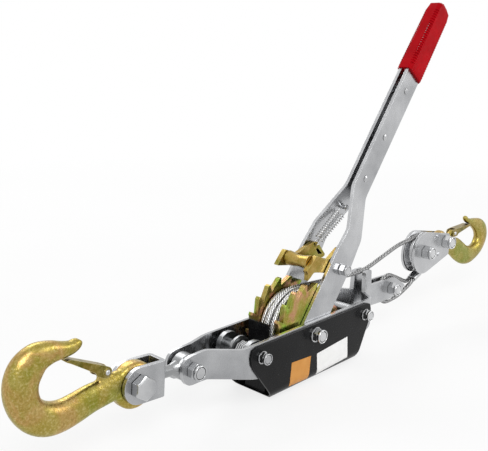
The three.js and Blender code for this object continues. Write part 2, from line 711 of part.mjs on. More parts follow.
rivetPlaces.forEach((along, index) => {
  const outside = gripBarInner + barThickness + clearance;
  const profile = [
    [0, -outside - 1.2], [2.4, -outside - 1], [4, -outside], [2.5, -outside],
    [2.5, -gripBarInner + clearance], [4.5, -gripBarInner + clearance],
    [4.5, gripBarInner - clearance], [2.5, gripBarInner - clearance], [2.5, outside], [4, outside],
    [2.4, outside + 1], [0, outside + 1.2],
  ];
  piece(handle, `handle_rivet_${index + 1}`, turned([0, along], profile, 8), brightZinc);
});

piece(handle, 'drive_pawl_bolt',
  clampBolt(pawlPivot, frameBoltRadius, -legOuter - clearance, legOuter + clearance, true), brightZinc);

// The grip is a long eight-sided sleeve with ribs on its four corner faces and a blunt end.
function grip() {
  const ribs = 18;
  const ribbedEnd = gripEnd - 12;
  const rings = [];
  const ring = (along, across, thick, chamfer) => {
    const corners = [
      [across, -thick + chamfer], [across, thick - chamfer], [across - chamfer, thick],
      [-across + chamfer, thick], [-across, thick - chamfer], [-across, -thick + chamfer],
      [-across + chamfer, -thick], [across - chamfer, -thick],
    ];
    rings.push(corners.map(([x, y]) => at(x, y, along)));
  };
  ring(gripStart, 15.5, 9.2, 3.4);
  for (let i = 0; i <= ribs; i += 1) {
    const along = THREE.MathUtils.lerp(gripStart + 6, ribbedEnd, i / ribs);
    const taper = THREE.MathUtils.lerp(0, 1.2, i / ribs);
    ring(along, 15.8 - taper, 9.6 - taper * 0.4, i % 2 === 0 ? 3.2 : 4);
  }
  ring(gripEnd - 8, 13.6, 8.8, 4);
  ring(gripEnd, 7.5, 5.5, 3);
  let sleeve = solidOf(loft(rings));
  [-1, 1].forEach((sign) => {
    const faces = [sign * (gripBarInner - clearance), sign * (gripBarInner + barThickness + clearance)];
    const half = barWidth / 2 + clearance;
    sleeve = sleeve.subtract(
      block(-half, half, Math.min(...faces), Math.max(...faces), gripStart - 5, barEnd + clearance));
  });
  return sleeve;
}
piece(handle, 'grip', grip(), redGrip);

// ---------------------------------------------------------------- drive pawl
const drivePawl = new THREE.Group();
handle.add(drivePawl);

// From a place measured round the axle to one measured on the handle.
function toHandle([x, z]) {
  const c = Math.cos(degrees(handleLean));
  const s = Math.sin(degrees(handleLean));
  return [x * c - z * s, x * s + z * c];
}
const liftPawl = (place) => turnedAbout(place, pawlPivot, drivePawlLift);
const pawlTooth = [onWheel(pawlTip, faceAngle - 3.4), onWheel(rootRadius + 5, faceAngle - 8)]
  .map((p) => liftPawl(toHandle(p)));
const toothFront = liftPawl(toHandle(onWheel(tipRadius + 1.2, faceAngle - 2.4)));

// Both plates share the boss on the pivot and the belly in front of it.
const [bossAcross, bossAlong] = pawlPivot;
const pawlBelly = [[-30.8, 51.8, 2], [-21, 56.6, 4], [bossAcross - 8, bossAlong - 10, 3]];
const pawlBoss = [[bossAcross + 4, bossAlong - 8.5, 5], [bossAcross + 8.5, bossAlong - 1, 5]];

// The near plate ends in the tooth; the far one in a blunt head.
const nearPawlCorners = [
  [...pawlTooth[0], 0.5], [...pawlTooth[1], 1], ...pawlBelly, ...pawlBoss,
  [bossAcross + 5, bossAlong + 8, 5], [-3.2, 90, 2], [-7, 92.6, 1.5], [-10.6, 90, 1.5], [-18, 71.5, 3],
  [-37, 67.6, 1.5], [-42, 47.6, 2], [...toothFront, 2],
];
const farPawlCorners = [
  [-31.2, 52.4, 1], ...pawlBelly.slice(1), ...pawlBoss, [bossAcross + 7, bossAlong + 8, 4],
  [16.5, 86.4, 1.5], [17, 89.4, 1.5], [-4, 94, 1.5], [-10.6, 90.4, 2], [-26, 68.4, 3],
  [-45, 63.8, 2], [-46.6, 44.4, 2],
];
const earWindow = [[0.4, 88.9, 0.8], [12, 87.6, 0.6], [5.6, 84, 0.8], [-1.2, 86.4, 0.8]];

function drivePawlPlate(corners, low, high) {
  return acrossY(outline(corners), low, high, 2)
    .subtract(rod(pawlPivot, frameBoltRadius + runningFit, -40, 40))
    .subtract(rod([-7, 89.6], 1.3, -40, 40, 10));
}
piece(drivePawl, 'drive_pawl_near',
  drivePawlPlate(nearPawlCorners, -pawlHalf[1], -pawlHalf[0]), yellowZinc);
piece(drivePawl, 'drive_pawl_far',
  drivePawlPlate(farPawlCorners, pawlHalf[0], pawlHalf[1])
    .subtract(acrossY(outline(earWindow), pawlHalf[0] - 1, pawlHalf[1] + 1, 2)), yellowZinc);

// The yoke: a waisted thumb bar between the fronts and a sleeve on the pivot, joined by a web.
function pawlYoke() {
  const half = pawlHalf[0] - clearance;
  const thumb = [-35.8, 59];
  const waist = [[0, -half], [7.8, -half], [7.4, -half + 2.5], [6, -5], [5.7, 0], [6, 5],
    [7.4, half - 2.5], [7.8, half], [0, half]];
  const web = outline([[thumb[0], thumb[1] + 1.6], [thumb[0], thumb[1] - 1.6],
    [bossAcross - 6, bossAlong - 6], [bossAcross - 6, bossAlong - 2.6]]);
  return turned(thumb, waist, 14)
    .add(acrossY(web, -half + 4, half - 4))
    .add(rod(pawlPivot, 7, -half, half))
    .subtract(rod(pawlPivot, frameBoltRadius + runningFit, -40, 40));
}
piece(drivePawl, 'drive_pawl_yoke', pawlYoke(), yellowZinc);

// Two extension springs from the far pawl's ear up to the pin on the far bar.
function pullSpring(foot, top, radius, wire, turns, hookLength) {
  const axis = top.clone().sub(foot).normalize();
  const side = at(0, 1, 0).sub(axis.clone().multiplyScalar(axis.y)).normalize();
  const other = axis.clone().cross(side);
  const coilStart = foot.clone().addScaledVector(axis, hookLength);
  const coilLength = top.distanceTo(foot) - 2 * hookLength;
  const points = [foot, foot.clone().addScaledVector(axis, 2 * wire)];
  const steps = turns * 8;
  for (let i = 0; i <= steps; i += 1) {
    const angle = (2 * Math.PI * i) / 8;
    points.push(coilStart.clone()
      .addScaledVector(axis, (coilLength * i) / steps)
      .addScaledVector(side, radius * Math.cos(angle))
      .addScaledVector(other, radius * Math.sin(angle)));
  }
  points.push(top.clone().addScaledVector(axis, -2 * wire), top);
  return points;
}
const springWire = 0.6;
const earSide = pawlHalf[0] - clearance - springWire;
const springRows = [
  { name: 'drive_spring_left', foot: at(-9.8, earSide, 90.6), top: at(-1.35, 7.2, 139.7) },
  { name: 'drive_spring_right', foot: at(-4.4, earSide, 88.2), top: at(3.2, 2.4, 138.4) },
];
springRows.forEach(({ name, foot, top }) => {
  const points = pullSpring(foot, top, 2.2, springWire, 9, 8.6);
  console.log('least gap in', name, leastGap(points.slice(2, -2), springWire, 6).toFixed(2));
  piece(handle, name, tube(points, springWire, 5), springSteel);
});

// ---------------------------------------------------------------- front swivel and clevis
const front = new THREE.Group(); // inside it, the chain runs level towards -X from the nose bolt
front.position.set(noseBolt[0], 0, noseBolt[1]);
front.rotation.y = degrees(chainPitch);
machine.add(front);

const clevisFloor = -clevisReach + frontEye.radius + 3.2; // inner face of the clevis floor
const clevisBack = clevisFloor + clevisThickness;

function swivelEye() {
  const half = noseHalfWidth - plateThickness - clearance;
  const eye = turned([0, 0], [
    [noseBoltRadius + runningFit, -half], [swivelEyeRadius - 3, -half], [swivelEyeRadius, -half + 3.5],
    [swivelEyeRadius, half - 3.5], [swivelEyeRadius - 3, half], [noseBoltRadius + runningFit, half],
    [noseBoltRadius + runningFit, -half],
  ], 14);
  const headLow = clevisFloor - clearance - 1.2;
  const headRadius = clevisHalfWidth - clevisThickness - 0.5;
  const stem = new THREE.LatheGeometry([
    [0, headLow], [headRadius - 0.8, headLow], [headRadius, headLow + 0.6],
    [headRadius, clevisFloor - clearance],
    [stemRadius, clevisFloor - clearance], [stemRadius, -swivelEyeRadius - 3],
    [7.5, -swivelEyeRadius + 2], [0, -swivelEyeRadius + 3],
  ].map(([r, y]) => new THREE.Vector2(r, y)), 12);
  stem.rotateZ(-Math.PI / 2);
  return eye.add(solidOf(stem)).subtract(rod([0, 0], noseBoltRadius + runningFit, -40, 40));
}
piece(front, 'swivel_eye', swivelEye(), zinc);

function clevis() {
  const outer = clevisHalfWidth;
  const inner = clevisHalfWidth - clevisThickness;
  const reach = -clevisReach - clevisHeight / 2;
  const plan = outline([
    [reach - 2, -outer], [clevisBack, -outer, 3.5], [clevisBack, outer, 3.5], [reach - 2, outer],
    [reach - 2, inner], [clevisFloor, inner, 1.5], [clevisFloor, -inner, 1.5], [reach - 2, -inner],
  ]);
  const side = new THREE.Shape();
  const half = clevisHeight / 2;
  side.moveTo(clevisBack, -half);
  side.lineTo(clevisBack, half);
  side.lineTo(-clevisReach, half);
  side.absarc(-clevisReach, 0, half, Math.PI / 2, 1.5 * Math.PI, false);
  side.closePath();
  const stemHole = new THREE.CylinderGeometry(stemRadius + runningFit, stemRadius + runningFit, 20, 20);
  stemHole.rotateZ(Math.PI / 2).translate(clevisFloor, 0, 0);
  return alongZ(plan, -half - 1, half + 1)
    .intersect(acrossY(side, -outer - 1, outer + 1, 7))
    .subtract(solidOf(stemHole))
    .subtract(rod([-clevisReach, 0], clevisBoltRadius + runningFit, -40, 40));
}
piece(front, 'clevis', clevis(), zinc);

// This bolt goes in from the near side, so its head faces -Y.
const clevisPlace = [-clevisReach, 0];
const clevisFace = clevisHalfWidth + clearance;
const clevisBolt = geometryOf(bolt(clevisPlace, clevisBoltRadius, -clevisFace, clevisFace, 11));
clevisBolt.rotateZ(Math.PI).translate(-2 * clevisReach, 0, 0);
piece(front, 'clevis_bolt', clevisBolt, brightZinc);
const clevisNut = geometryOf(lockNut(clevisPlace, clevisBoltRadius, -clevisFace));
clevisNut.rotateZ(Math.PI).translate(-2 * clevisReach, 0, 0);
piece(front, 'clevis_nut', clevisNut, brightZinc);

// ---------------------------------------------------------------- hooks
// A hook's spine from its bolt to its point: [out, up, half width, half thickness].
const frontHook = {
  eye: frontEye,
  boltRadius: clevisBoltRadius,
  latchPivot: [27.1, 19.7],
  latchTip: [62.2, 40.2],
  spine: [
    [12.4, 2.6, 12.4, 6.6], [19.5, 2.9, 12.2, 6.7], [30.9, 1.7, 11.6, 7.2], [42.4, 0.8, 12, 7.8],
    [54.9, -1.5, 12.3, 8.5], [67.7, -3, 12.7, 9.2], [79.5, -1.3, 13.4, 9.8], [89.4, 4.4, 13.3, 10],
    [96.6, 13.8, 13.2, 10.2], [99.4, 25.2, 13.8, 10.2], [98.1, 35.7, 14.1, 10], [92.9, 44, 13.8, 9.4],
    [84.4, 49.6, 12, 8.6], [73.7, 50.7, 9.1, 7.4], [63.2, 49.2, 6.8, 6.2], [55, 48.8, 5.4, 5.2],
    [49.6, 50.8, 4.6, 4.4], [47.6, 53, 2.8, 3],
  ],
};
// The hook on the block is lighter, with a smaller eye and a lower bowl.
const rearHook = {
  eye: rearEye,
  boltRadius: blockBoltRadius,
  latchPivot: [27.5, 16.6],
  latchTip: [66, 36.4],
  spine: [
    [8, 1.5, 9.5, 4.6], [21.4, 0.3, 10.6, 4.7], [33.7, 0.4, 11.1, 5], [46.2, 0.6, 13.4, 5.5],
    [59.6, -1.4, 13.8, 5.9], [73.3, -2.8, 13.1, 6.4], [86.2, -0.7, 12.2, 6.9], [97, 5.1, 10.7, 7],
    [105.9, 13.8, 10, 7.1], [109.8, 24, 11.1, 7.1], [109.2, 32.6, 12.3, 7], [103.7, 38.8, 12.6, 6.6],
    [94.3, 42.2, 10.5, 6], [81.2, 42.6, 7, 5.2], [69, 41.7, 4.2, 4.3], [60, 41.2, 3.4, 3.6],
    [54, 43, 3.4, 3.1], [52.2, 45.2, 2.2, 2],
  ],
};

function hookBody({ spine, eye, boltRadius, latchPivot }) {
  const sides = 10;
  const rings = spine.map(([s, z, wide, thick], i) => {
    const [ahead, behind] = [spine[Math.min(i + 1, spine.length - 1)], spine[Math.max(i - 1, 0)]];
    const heading = Math.atan2(ahead[1] - behind[1], ahead[0] - behind[0]);
    return Array.from({ length: sides }, (_, j) => {
      const angle = (2 * Math.PI * j) / sides;
      const flat = 0.86 + 0.14 * Math.abs(Math.sin(2 * angle)); // a section between oval and box
      const w = wide * Math.cos(angle) * (Math.abs(Math.sin(2 * angle)) > 0.5 ? 1.04 : 1);
      const y = (thick * Math.sin(angle)) / (flat > 0.93 ? 0.94 : 1);
      return at(s - w * Math.sin(heading), y, z + w * Math.cos(heading));
    });
  });
  const bar = solidOf(loft(rings.map((ring) => [...ring].reverse())));
  const half = eye.thickness / 2;
  const eyeCentreLine = [0, -eye.drop];
  const disc = turned(eyeCentreLine, [
    [0, -half], [eye.radius - 3.5, -half], [eye.radius, -half + 3], [eye.radius, half - 3],
    [eye.radius - 3.5, half], [0, half],
  ], 20);
  const [ls, lz] = latchPivot;
  const lug = acrossY(outline([
    [ls - 9, lz - 9], [ls + 7, lz - 9], [ls + 4.5, lz + 2.5, 3], [ls - 3.5, lz + 4, 3],
  ]), -lugHalfWidth, lugHalfWidth);
  return bar.add(disc).add(lug)
    .subtract(rod(eyeCentreLine, boltRadius + runningFit + eye.drop, -40, 40, 18))
    .subtract(rod([ls, lz], 2 + runningFit, -40, 40, 12));
}

// The safety latch: a folded channel that straddles the lug, with its rivet.
function hookLatch({ latchPivot, latchTip }) {
  const [ls, lz] = latchPivot;
  const long = [latchTip[0] - ls, latchTip[1] - lz];
  const length = Math.hypot(...long);
  const [ux, uz] = [long[0] / length, long[1] / length];
  const place = (along, side, setback = 0) => [
    ls + ux * along - uz * side, lz + uz * along + ux * side, setback,
  ];
  const shape = outline([
    place(-4.9, -2.6, 2.5), place(-1, -5.2, 2), place(7.6, -5.2, 1), place(10, -3, 2),
    place(length - 4, -0.4, 0.8), place(length, -0.4, 0.4), place(length, 0.9, 0.4),
    place(length - 3, 2.7, 1), place(5, 4.6, 3), place(-3.8, 4.4, 2.5),
  ]);
  const hollow = outline([
    place(-12, -12), place(length * 0.62, -12), place(length * 0.62, 0.8), place(5.5, 2.8),
    place(3, 12), place(-12, 12),
  ]);
  const gap = lugHalfWidth + clearance;
  const rivet = turned([ls, lz], [
    [0, -latchHalfWidth - 1.2], [2.6, -latchHalfWidth - 0.9], [3.4, -latchHalfWidth],
    [2, -latchHalfWidth + 0.3], [2, latchHalfWidth - 0.3], [3.4, latchHalfWidth],
    [2.6, latchHalfWidth + 0.9], [0, latchHalfWidth + 1.2],
  ], 8);
  return acrossY(shape, -latchHalfWidth, latchHalfWidth, 2)
    .subtract(acrossY(hollow, -gap, gap))
    .add(rivet);
}

// Hangs a hook with its eye at a bolt; the hook runs out towards -X, or +X when it is mirrored.
function addHook(parent, prefix, [x, z], turn, mirrored, design) {
  const hook = new THREE.Group();
  hook.position.set(x, 0, z);
  hook.rotation.y = mirrored ? degrees(-turn) : degrees(turn);
  parent.add(hook);
  const facing = (solid) => {
    const geometry = geometryOf(solid);
    return mirrored ? geometry : geometry.rotateZ(Math.PI);
  };
  piece(hook, `${prefix}_hook`, facing(hookBody(design)), yellowZinc);
  piece(hook, `${prefix}_latch`, facing(hookLatch(design)), yellowZinc);
}
addHook(front, 'front', clevisPlace, frontHookTurn - chainPitch, false, frontHook);

// ---------------------------------------------------------------- pulley block
const pulley = new THREE.Group();
pulley.position.set(sheaveCentre[0], 0, sheaveCentre[1]);
machine.add(pulley);

const grooveRadius = ropeOnSheave - ropeRadius - 0.2;
const grooveEdge = sheaveHalfWidth - 1;
const sheaveProfile = [
  [blockBoltRadius + runningFit, -sheaveHalfWidth], [sheaveRadius - 0.6, -sheaveHalfWidth],
  [sheaveRadius, -sheaveHalfWidth + 0.5], [sheaveRadius, -grooveEdge], [grooveRadius + 0.4, -2],
  [grooveRadius, 0], [grooveRadius + 0.4, 2], [sheaveRadius, grooveEdge],
  [sheaveRadius, sheaveHalfWidth - 0.5], [sheaveRadius - 0.6, sheaveHalfWidth],
  [blockBoltRadius + runningFit, sheaveHalfWidth], [blockBoltRadius + runningFit, -sheaveHalfWidth],
];
piece(pulley, 'sheave', turned([0, 0], sheaveProfile, 20), zinc);

const cheekInner = sheaveHalfWidth + 0.5;
const cheekOuter = cheekInner + blockThickness;
const cheekPins = [[28.5, 14.5], [34, -9.5]]; // short studs that hold the two cheeks apart

function blockCheek(sign) {
  const shape = new THREE.Shape();
  shape.absarc(...blockCheekCentre, blockCheekRadius, degrees(80), degrees(284), false);
  shape.lineTo(55, -14.8);
  shape.quadraticCurveTo(58.5, -13.8, 58.7, -10.5);
  shape.lineTo(59.5, 8.5);
  shape.quadraticCurveTo(59.5, 12.6, 55.5, 13.6);
  shape.closePath();
  const faces = [sign * cheekInner, sign * cheekOuter];
  let cheek = acrossY(shape, Math.min(...faces), Math.max(...faces), 7);
  cheekPins.forEach((place) => {
    const ends = [sign * clearance, sign * (cheekOuter + 1)];
    cheek = cheek.add(rod(place, 2.6, Math.min(...ends), Math.max(...ends), 10));
  });
  return cheek
    .subtract(rod([0, 0], blockBoltRadius + runningFit, -40, 40))
    .subtract(rod(rearHookBolt, blockBoltRadius + runningFit, -40, 40));
}
piece(pulley, 'block_cheek_near', blockCheek(-1), zinc);
piece(pulley, 'block_cheek_far', blockCheek(1), zinc);

const cheekFace = cheekOuter + clearance;
piece(pulley, 'sheave_bolt', clampBolt([0, 0], blockBoltRadius, -cheekFace, cheekFace), brightZinc);
piece(pulley, 'rear_hook_bolt', clampBolt(rearHookBolt, blockBoltRadius, -cheekFace, cheekFace), brightZinc);

const wrap = tube(wrapPoints, ropeRadius, 8);
wrap.translate(-sheaveCentre[0], 0, -sheaveCentre[1]);
piece(pulley, 'cable_on_sheave', wrap, ropeSteel);

addHook(pulley, 'rear', rearHookBolt, rearHookTurn, true, rearHook);

export default puller;
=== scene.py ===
import json
import math

import bmesh
import bpy
from mathutils import Matrix, Vector


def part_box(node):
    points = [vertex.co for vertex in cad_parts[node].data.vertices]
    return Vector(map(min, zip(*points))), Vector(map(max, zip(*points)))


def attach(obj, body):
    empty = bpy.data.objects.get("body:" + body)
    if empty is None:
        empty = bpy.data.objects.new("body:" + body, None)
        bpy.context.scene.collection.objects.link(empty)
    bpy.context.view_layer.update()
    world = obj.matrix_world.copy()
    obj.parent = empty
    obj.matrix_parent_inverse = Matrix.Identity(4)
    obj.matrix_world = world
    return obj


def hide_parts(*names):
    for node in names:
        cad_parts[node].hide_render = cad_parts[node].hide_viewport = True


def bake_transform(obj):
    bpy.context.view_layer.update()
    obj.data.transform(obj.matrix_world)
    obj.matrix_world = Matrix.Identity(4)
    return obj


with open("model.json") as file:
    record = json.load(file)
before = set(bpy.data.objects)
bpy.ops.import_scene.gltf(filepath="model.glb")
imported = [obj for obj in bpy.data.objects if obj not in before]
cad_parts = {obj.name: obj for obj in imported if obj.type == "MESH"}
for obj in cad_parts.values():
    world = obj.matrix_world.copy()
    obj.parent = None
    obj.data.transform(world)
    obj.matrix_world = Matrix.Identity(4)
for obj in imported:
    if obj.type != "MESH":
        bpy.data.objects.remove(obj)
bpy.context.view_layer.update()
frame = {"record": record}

# Sizes and places are in mm from the axle, X towards the pulley block and Z up. Meshes are in
# metres in the model's own frame, whose origin lies below the axle.
MM = 0.001
AXLE = 50.5  # the axle above the underside of the guard
GAP = 0.3  # between pieces that touch


# ---------------------------------------------------------------- materials
class Nodes:
    """A small builder of procedural materials: scales in waves per metre, distances in metres."""

    def __init__(self, name):
        self.mat = bpy.data.materials.new(name)
        self.mat.use_nodes = True
        self.tree = self.mat.node_tree
        self.shader = self.tree.nodes["Principled BSDF"]
        self.coord = self.tree.nodes.new("ShaderNodeTexCoord")

    def new(self, kind, **props):
        node = self.tree.nodes.new(kind)
        for key, value in props.items():
            setattr(node, key, value)
        return node

    def link(self, a, b):
        self.tree.links.new(a, b)

    def set(self, **values):
        """Plain values of the shader."""
        for key, value in values.items():
            self.shader.inputs[key.replace("_", " ")].default_value = value

    def drive(self, socket, value):
        """Lets a node's output set one value of the shader."""
        self.link(value, self.shader.inputs[socket])

    def stretched(self, scale):
        """The place on the object, stretched along its axes."""
        mapping = self.new("ShaderNodeMapping")
        mapping.inputs["Scale"].default_value = scale
        self.link(self.coord.outputs["Object"], mapping.inputs["Vector"])
        return mapping.outputs["Vector"]

    def noise(self, scale, detail=3, roughness=0.5, vector=None, distortion=0.0):
        node = self.new("ShaderNodeTexNoise")
        node.inputs["Scale"].default_value = scale
        node.inputs["Detail"].default_value = detail
        node.inputs["Roughness"].default_value = roughness
        node.inputs["Distortion"].default_value = distortion
        self.link(vector or self.coord.outputs["Object"], node.inputs["Vector"])
        return node.outputs["Fac"]

    def ramp(self, value, stops):
        """A colour between the stops, each a place and a colour."""
        node = self.new("ShaderNodeValToRGB")
        elements = node.color_ramp.elements
        while len(elements) < len(stops):
            elements.new(0.5)
        for element, (position, colour) in zip(elements, stops):
            element.position = position
            element.color = (*colour, 1)
        self.link(value, node.inputs["Fac"])
        return node.outputs["Color"]

    def span(self, value, low, high, start=0.0, end=1.0):
        """Low where the value is at start or under, high where it is at end or over."""
        node = self.new("ShaderNodeMapRange")
        node.inputs["From Min"].default_value = start
        node.inputs["From Max"].default_value = end
        node.inputs["To Min"].default_value = low
        node.inputs["To Max"].default_value = high
        self.link(value, node.inputs["Value"])
        return node.outputs["Result"]

    def math(self, operation, a, b=None):
        node = self.new("ShaderNodeMath", operation=operation)
        for socket, value in zip(node.inputs, (a, b)):
            if value is None:
                continue
            if isinstance(value, (int, float)):
                socket.default_value = value
            else:
                self.link(value, socket)
        return node.outputs[0]

    def weighed(self, a, b, share):
        """The share of a and the rest of b."""
        return self.math("ADD", self.math("MULTIPLY", a, share), self.math("MULTIPLY", b, 1 - share))

    def edges(self, radius):
        """1 along the edges of a form, 0 on its faces, where a rounded normal agrees with the true one; the
        mask for the painted edge highlight.
        """
        bevel = self.new("ShaderNodeBevel", samples=8)
        bevel.inputs["Radius"].default_value = radius
        geometry = self.new("ShaderNodeNewGeometry")
        dot = self.new("ShaderNodeVectorMath", operation="DOT_PRODUCT")
        self.link(bevel.outputs["Normal"], dot.inputs[0])
        self.link(geometry.outputs["Normal"], dot.inputs[1])
        on_edge, on_face = 0.88, 0.995
        return self.span(dot.outputs["Value"], 1.0, 0.0, on_edge, on_face)

    def open_air(self, distance):
        """1 on open faces, 0 in corners and gaps."""
        node = self.new("ShaderNodeAmbientOcclusion", samples=6)
        node.inputs["Distance"].default_value = distance
        shut, free = 0.1, 0.6
        return self.span(node.outputs["AO"], 0.0, 1.0, shut, free)

    def mix(self, factor, a, b):
        """From colour a at factor 0 to colour b at 1."""
        node = self.new("ShaderNodeMix", data_type="RGBA")
        for socket, value in zip((node.inputs[0], node.inputs[6], node.inputs[7]), (factor, a, b)):
            if isinstance(value, tuple):
                socket.default_value = (*value, 1)
            else:
                self.link(value, socket)
        return node.outputs[2]

    def with_painted_edge_highlight(self, face, radius, share, bare):
        """The face's colour with a highlight painted along every edge, convex and concave; bare is the
        highlight's colour.
        """
        return self.mix(self.math("MULTIPLY", self.edges(radius), share), face, bare)

    def with_painted_shade(self, face, distance, dark):
        """The face's colour with shade painted in: dark in corners and gaps."""
        return self.mix(self.open_air(distance), dark, face)

    def bump(self, height, strength, distance):
        node = self.new("ShaderNodeBump")
        node.inputs["Strength"].default_value = strength
        node.inputs["Distance"].default_value = distance
        self.link(height, node.inputs["Height"])
        self.drive("Normal", node.outputs["Normal"])


def zinc(name, low, high, rough=(0.2, 0.34), grain=(900, 900, 60), strength=0.1, edge=0.86, deep=0.45):
    """Zinc plate: clouded grey faces, brushed, a highlight painted along the edges in the grey edge, and
    shade painted into the corners at deep times the low grey.
    """
    m = Nodes(name)
    m.set(Metallic=1.0)
    cloud = m.noise(34, 4, 0.55)
    wide = m.noise(8, 1, 0.4)
    face = m.ramp(m.weighed(cloud, wide, 0.45), [(0.34, low), (0.64, high)])
    # painted shade in corners and gaps
    shut = m.with_painted_shade(face, 0.0035, tuple(deep * c for c in low))
    # painted highlight along the edges
    m.drive("Base Color", m.with_painted_edge_highlight(shut, 0.0006, 0.6, (edge, edge, edge)))
    brushed = m.noise(1.0, 2, 0.6, m.stretched(grain))
    m.drive("Roughness", m.span(m.weighed(brushed, cloud, 0.6), *rough, 0.25, 0.75))
    m.bump(brushed, strength, 0.00006)
    return m.mat


def yellow_zinc(name, hues, grit=0.2, grit_scale=190, speckle=0.25):
    """Gold zinc plate: olive, gold and rose clouds, dark flecks, pale flecks that are painted glints, a
    highlight painted along the edges and shade painted into the corners.
    """
    m = Nodes(name)
    m.set(Metallic=1.0)
    clouds = m.ramp(m.noise(17, 3, 0.6, distortion=1.2), hues)
    dull = m.span(m.noise(90, 4, 0.7), 0.0, 0.35, 0.42, 0.72)
    tone = m.mix(dull, clouds, (0.60, 0.50, 0.19))
    fleck = m.noise(520, 4, 0.75)
    dark = m.math("MULTIPLY", m.span(fleck, 1.0, 0.0, 0.34, 0.5), speckle)
    # the pale flecks are painted glints
    pale = m.math("MULTIPLY", m.span(fleck, 0.0, 1.0, 0.52, 0.68), speckle)
    flecked = m.mix(pale, m.mix(dark, tone, (0.09, 0.075, 0.012)), (0.86, 0.76, 0.44))
    # painted shade in corners and gaps
    shut = m.with_painted_shade(flecked, 0.006, (0.05, 0.034, 0.006))
    # painted highlight along the edges
    m.drive("Base Color", m.with_painted_edge_highlight(shut, 0.0007, 0.6, (0.84, 0.76, 0.42)))
    m.drive("Roughness", m.span(m.noise(420, 3, 0.6), 0.24, 0.42, 0.3, 0.7))
    m.bump(m.noise(grit_scale, 4, 0.65), grit, 0.0003)
    return m.mat


def black_paint(name):
    """Smooth black paint, with a grey highlight painted along its edges."""
    m = Nodes(name)
    m.set(Metallic=0.0, Specular_IOR_Level=0.14)
    face = m.ramp(m.noise(60, 3), [(0.3, (0.0045, 0.0045, 0.005)), (0.7, (0.008, 0.008, 0.0085))])
    # painted highlight along the edges, in grey
    m.drive("Base Color", m.with_painted_edge_highlight(face, 0.0006, 0.25, (0.09, 0.09, 0.09)))
    m.drive("Roughness", m.span(m.noise(500, 2), 0.2, 0.34, 0.3, 0.7))
    m.bump(m.noise(700, 2), 0.08, 0.0001)
    return m.mat


def rope_steel(name, dark, middle, light):
    """Strands of twisted wires, with shade painted near black on each strand's flanks and in the gaps: the
    UV goes once round a strand from its crown, and along it in metres.
    """
    wires_round, wires_along = 7.0, 330.0  # wires round a strand, and in each metre of it
    painted_shade_black = (0.006, 0.006, 0.007)
    m = Nodes(name)
    m.set(Metallic=1.0)
    split = m.new("ShaderNodeSeparateXYZ")
    m.link(m.coord.outputs["UV"], split.inputs[0])
    around, along = split.outputs[0], split.outputs[1]
    phase = m.math("ADD", m.math("MULTIPLY", around, wires_round), m.math("MULTIPLY", along, wires_along))
    wires = m.span(m.math("SINE", m.math("MULTIPLY", phase, 2 * math.pi)), 0, 1, -1, 1)
    tone = m.weighed(wires, m.noise(90, 3), 0.7)
    wire = m.ramp(tone, [(0.15, (dark,) * 3), (0.5, (middle,) * 3), (0.8, (light,) * 3)])
    crown = m.math("COSINE", m.math("MULTIPLY", around, 2 * math.pi))
    # painted shade: each strand's flanks, away from its crown, go near black
    strand = m.mix(m.span(crown, 0.0, 1.0, 0.5, 0.82), painted_shade_black, wire)
    # painted shade in the gaps between strands
    m.drive("Base Color", m.with_painted_shade(strand, 0.0011, painted_shade_black))
    m.drive("Roughness", m.span(tone, 0.42, 0.24))
    m.bump(wires, 0.5, 0.00012)
    return m.mat


def red_vinyl(name):
    """Dull red vinyl, with a pale highlight painted along its ribs' edges and shade painted between the
    ribs.
    """
    m = Nodes(name)
    m.set(Metallic=0.0, Specular_IOR_Level=0.04)
    face = m.ramp(m.noise(45, 3), [(0.3, (0.33, 0.0006, 0.004)), (0.7, (0.44, 0.001, 0.006))])
    # painted highlight along the ribs' edges
    lit = m.with_painted_edge_highlight(face, 0.0006, 0.6, (0.78, 0.05, 0.07))
    # painted shade between the ribs
    m.drive("Base Color", m.with_painted_shade(lit, 0.0018, (0.07, 0.0002, 0.001)))
    m.drive("Roughness", m.span(m.noise(300, 3), 0.34, 0.5, 0.3, 0.7))
    m.bump(m.noise(1500, 2), 0.1, 0.00008)
    return m.mat


def paper(name, low, high):
    """A bare sheet, faintly clouded."""
    m = Nodes(name)
    m.set(Metallic=0.0, Specular_IOR_Level=0.2)
    m.drive("Base Color", m.ramp(m.noise(80, 3), [(0.3, low), (0.7, high)]))
    m.drive("Roughness", m.span(m.noise(600, 2), 0.3, 0.45, 0.3, 0.7))
    m.bump(m.noise(900, 2), 0.06, 0.00005)
    return m.mat


EVEN_GRAIN = (500, 500, 500)  # a grain that runs no way

ZINC = zinc("zinc_plate", (0.33, 0.335, 0.345), (0.56, 0.565, 0.575))
BRIGHT = zinc("bright_zinc", (0.34, 0.345, 0.355), (0.74, 0.745, 0.75),
              rough=(0.1, 0.2), grain=EVEN_GRAIN, strength=0.05, edge=0.95, deep=0.08)
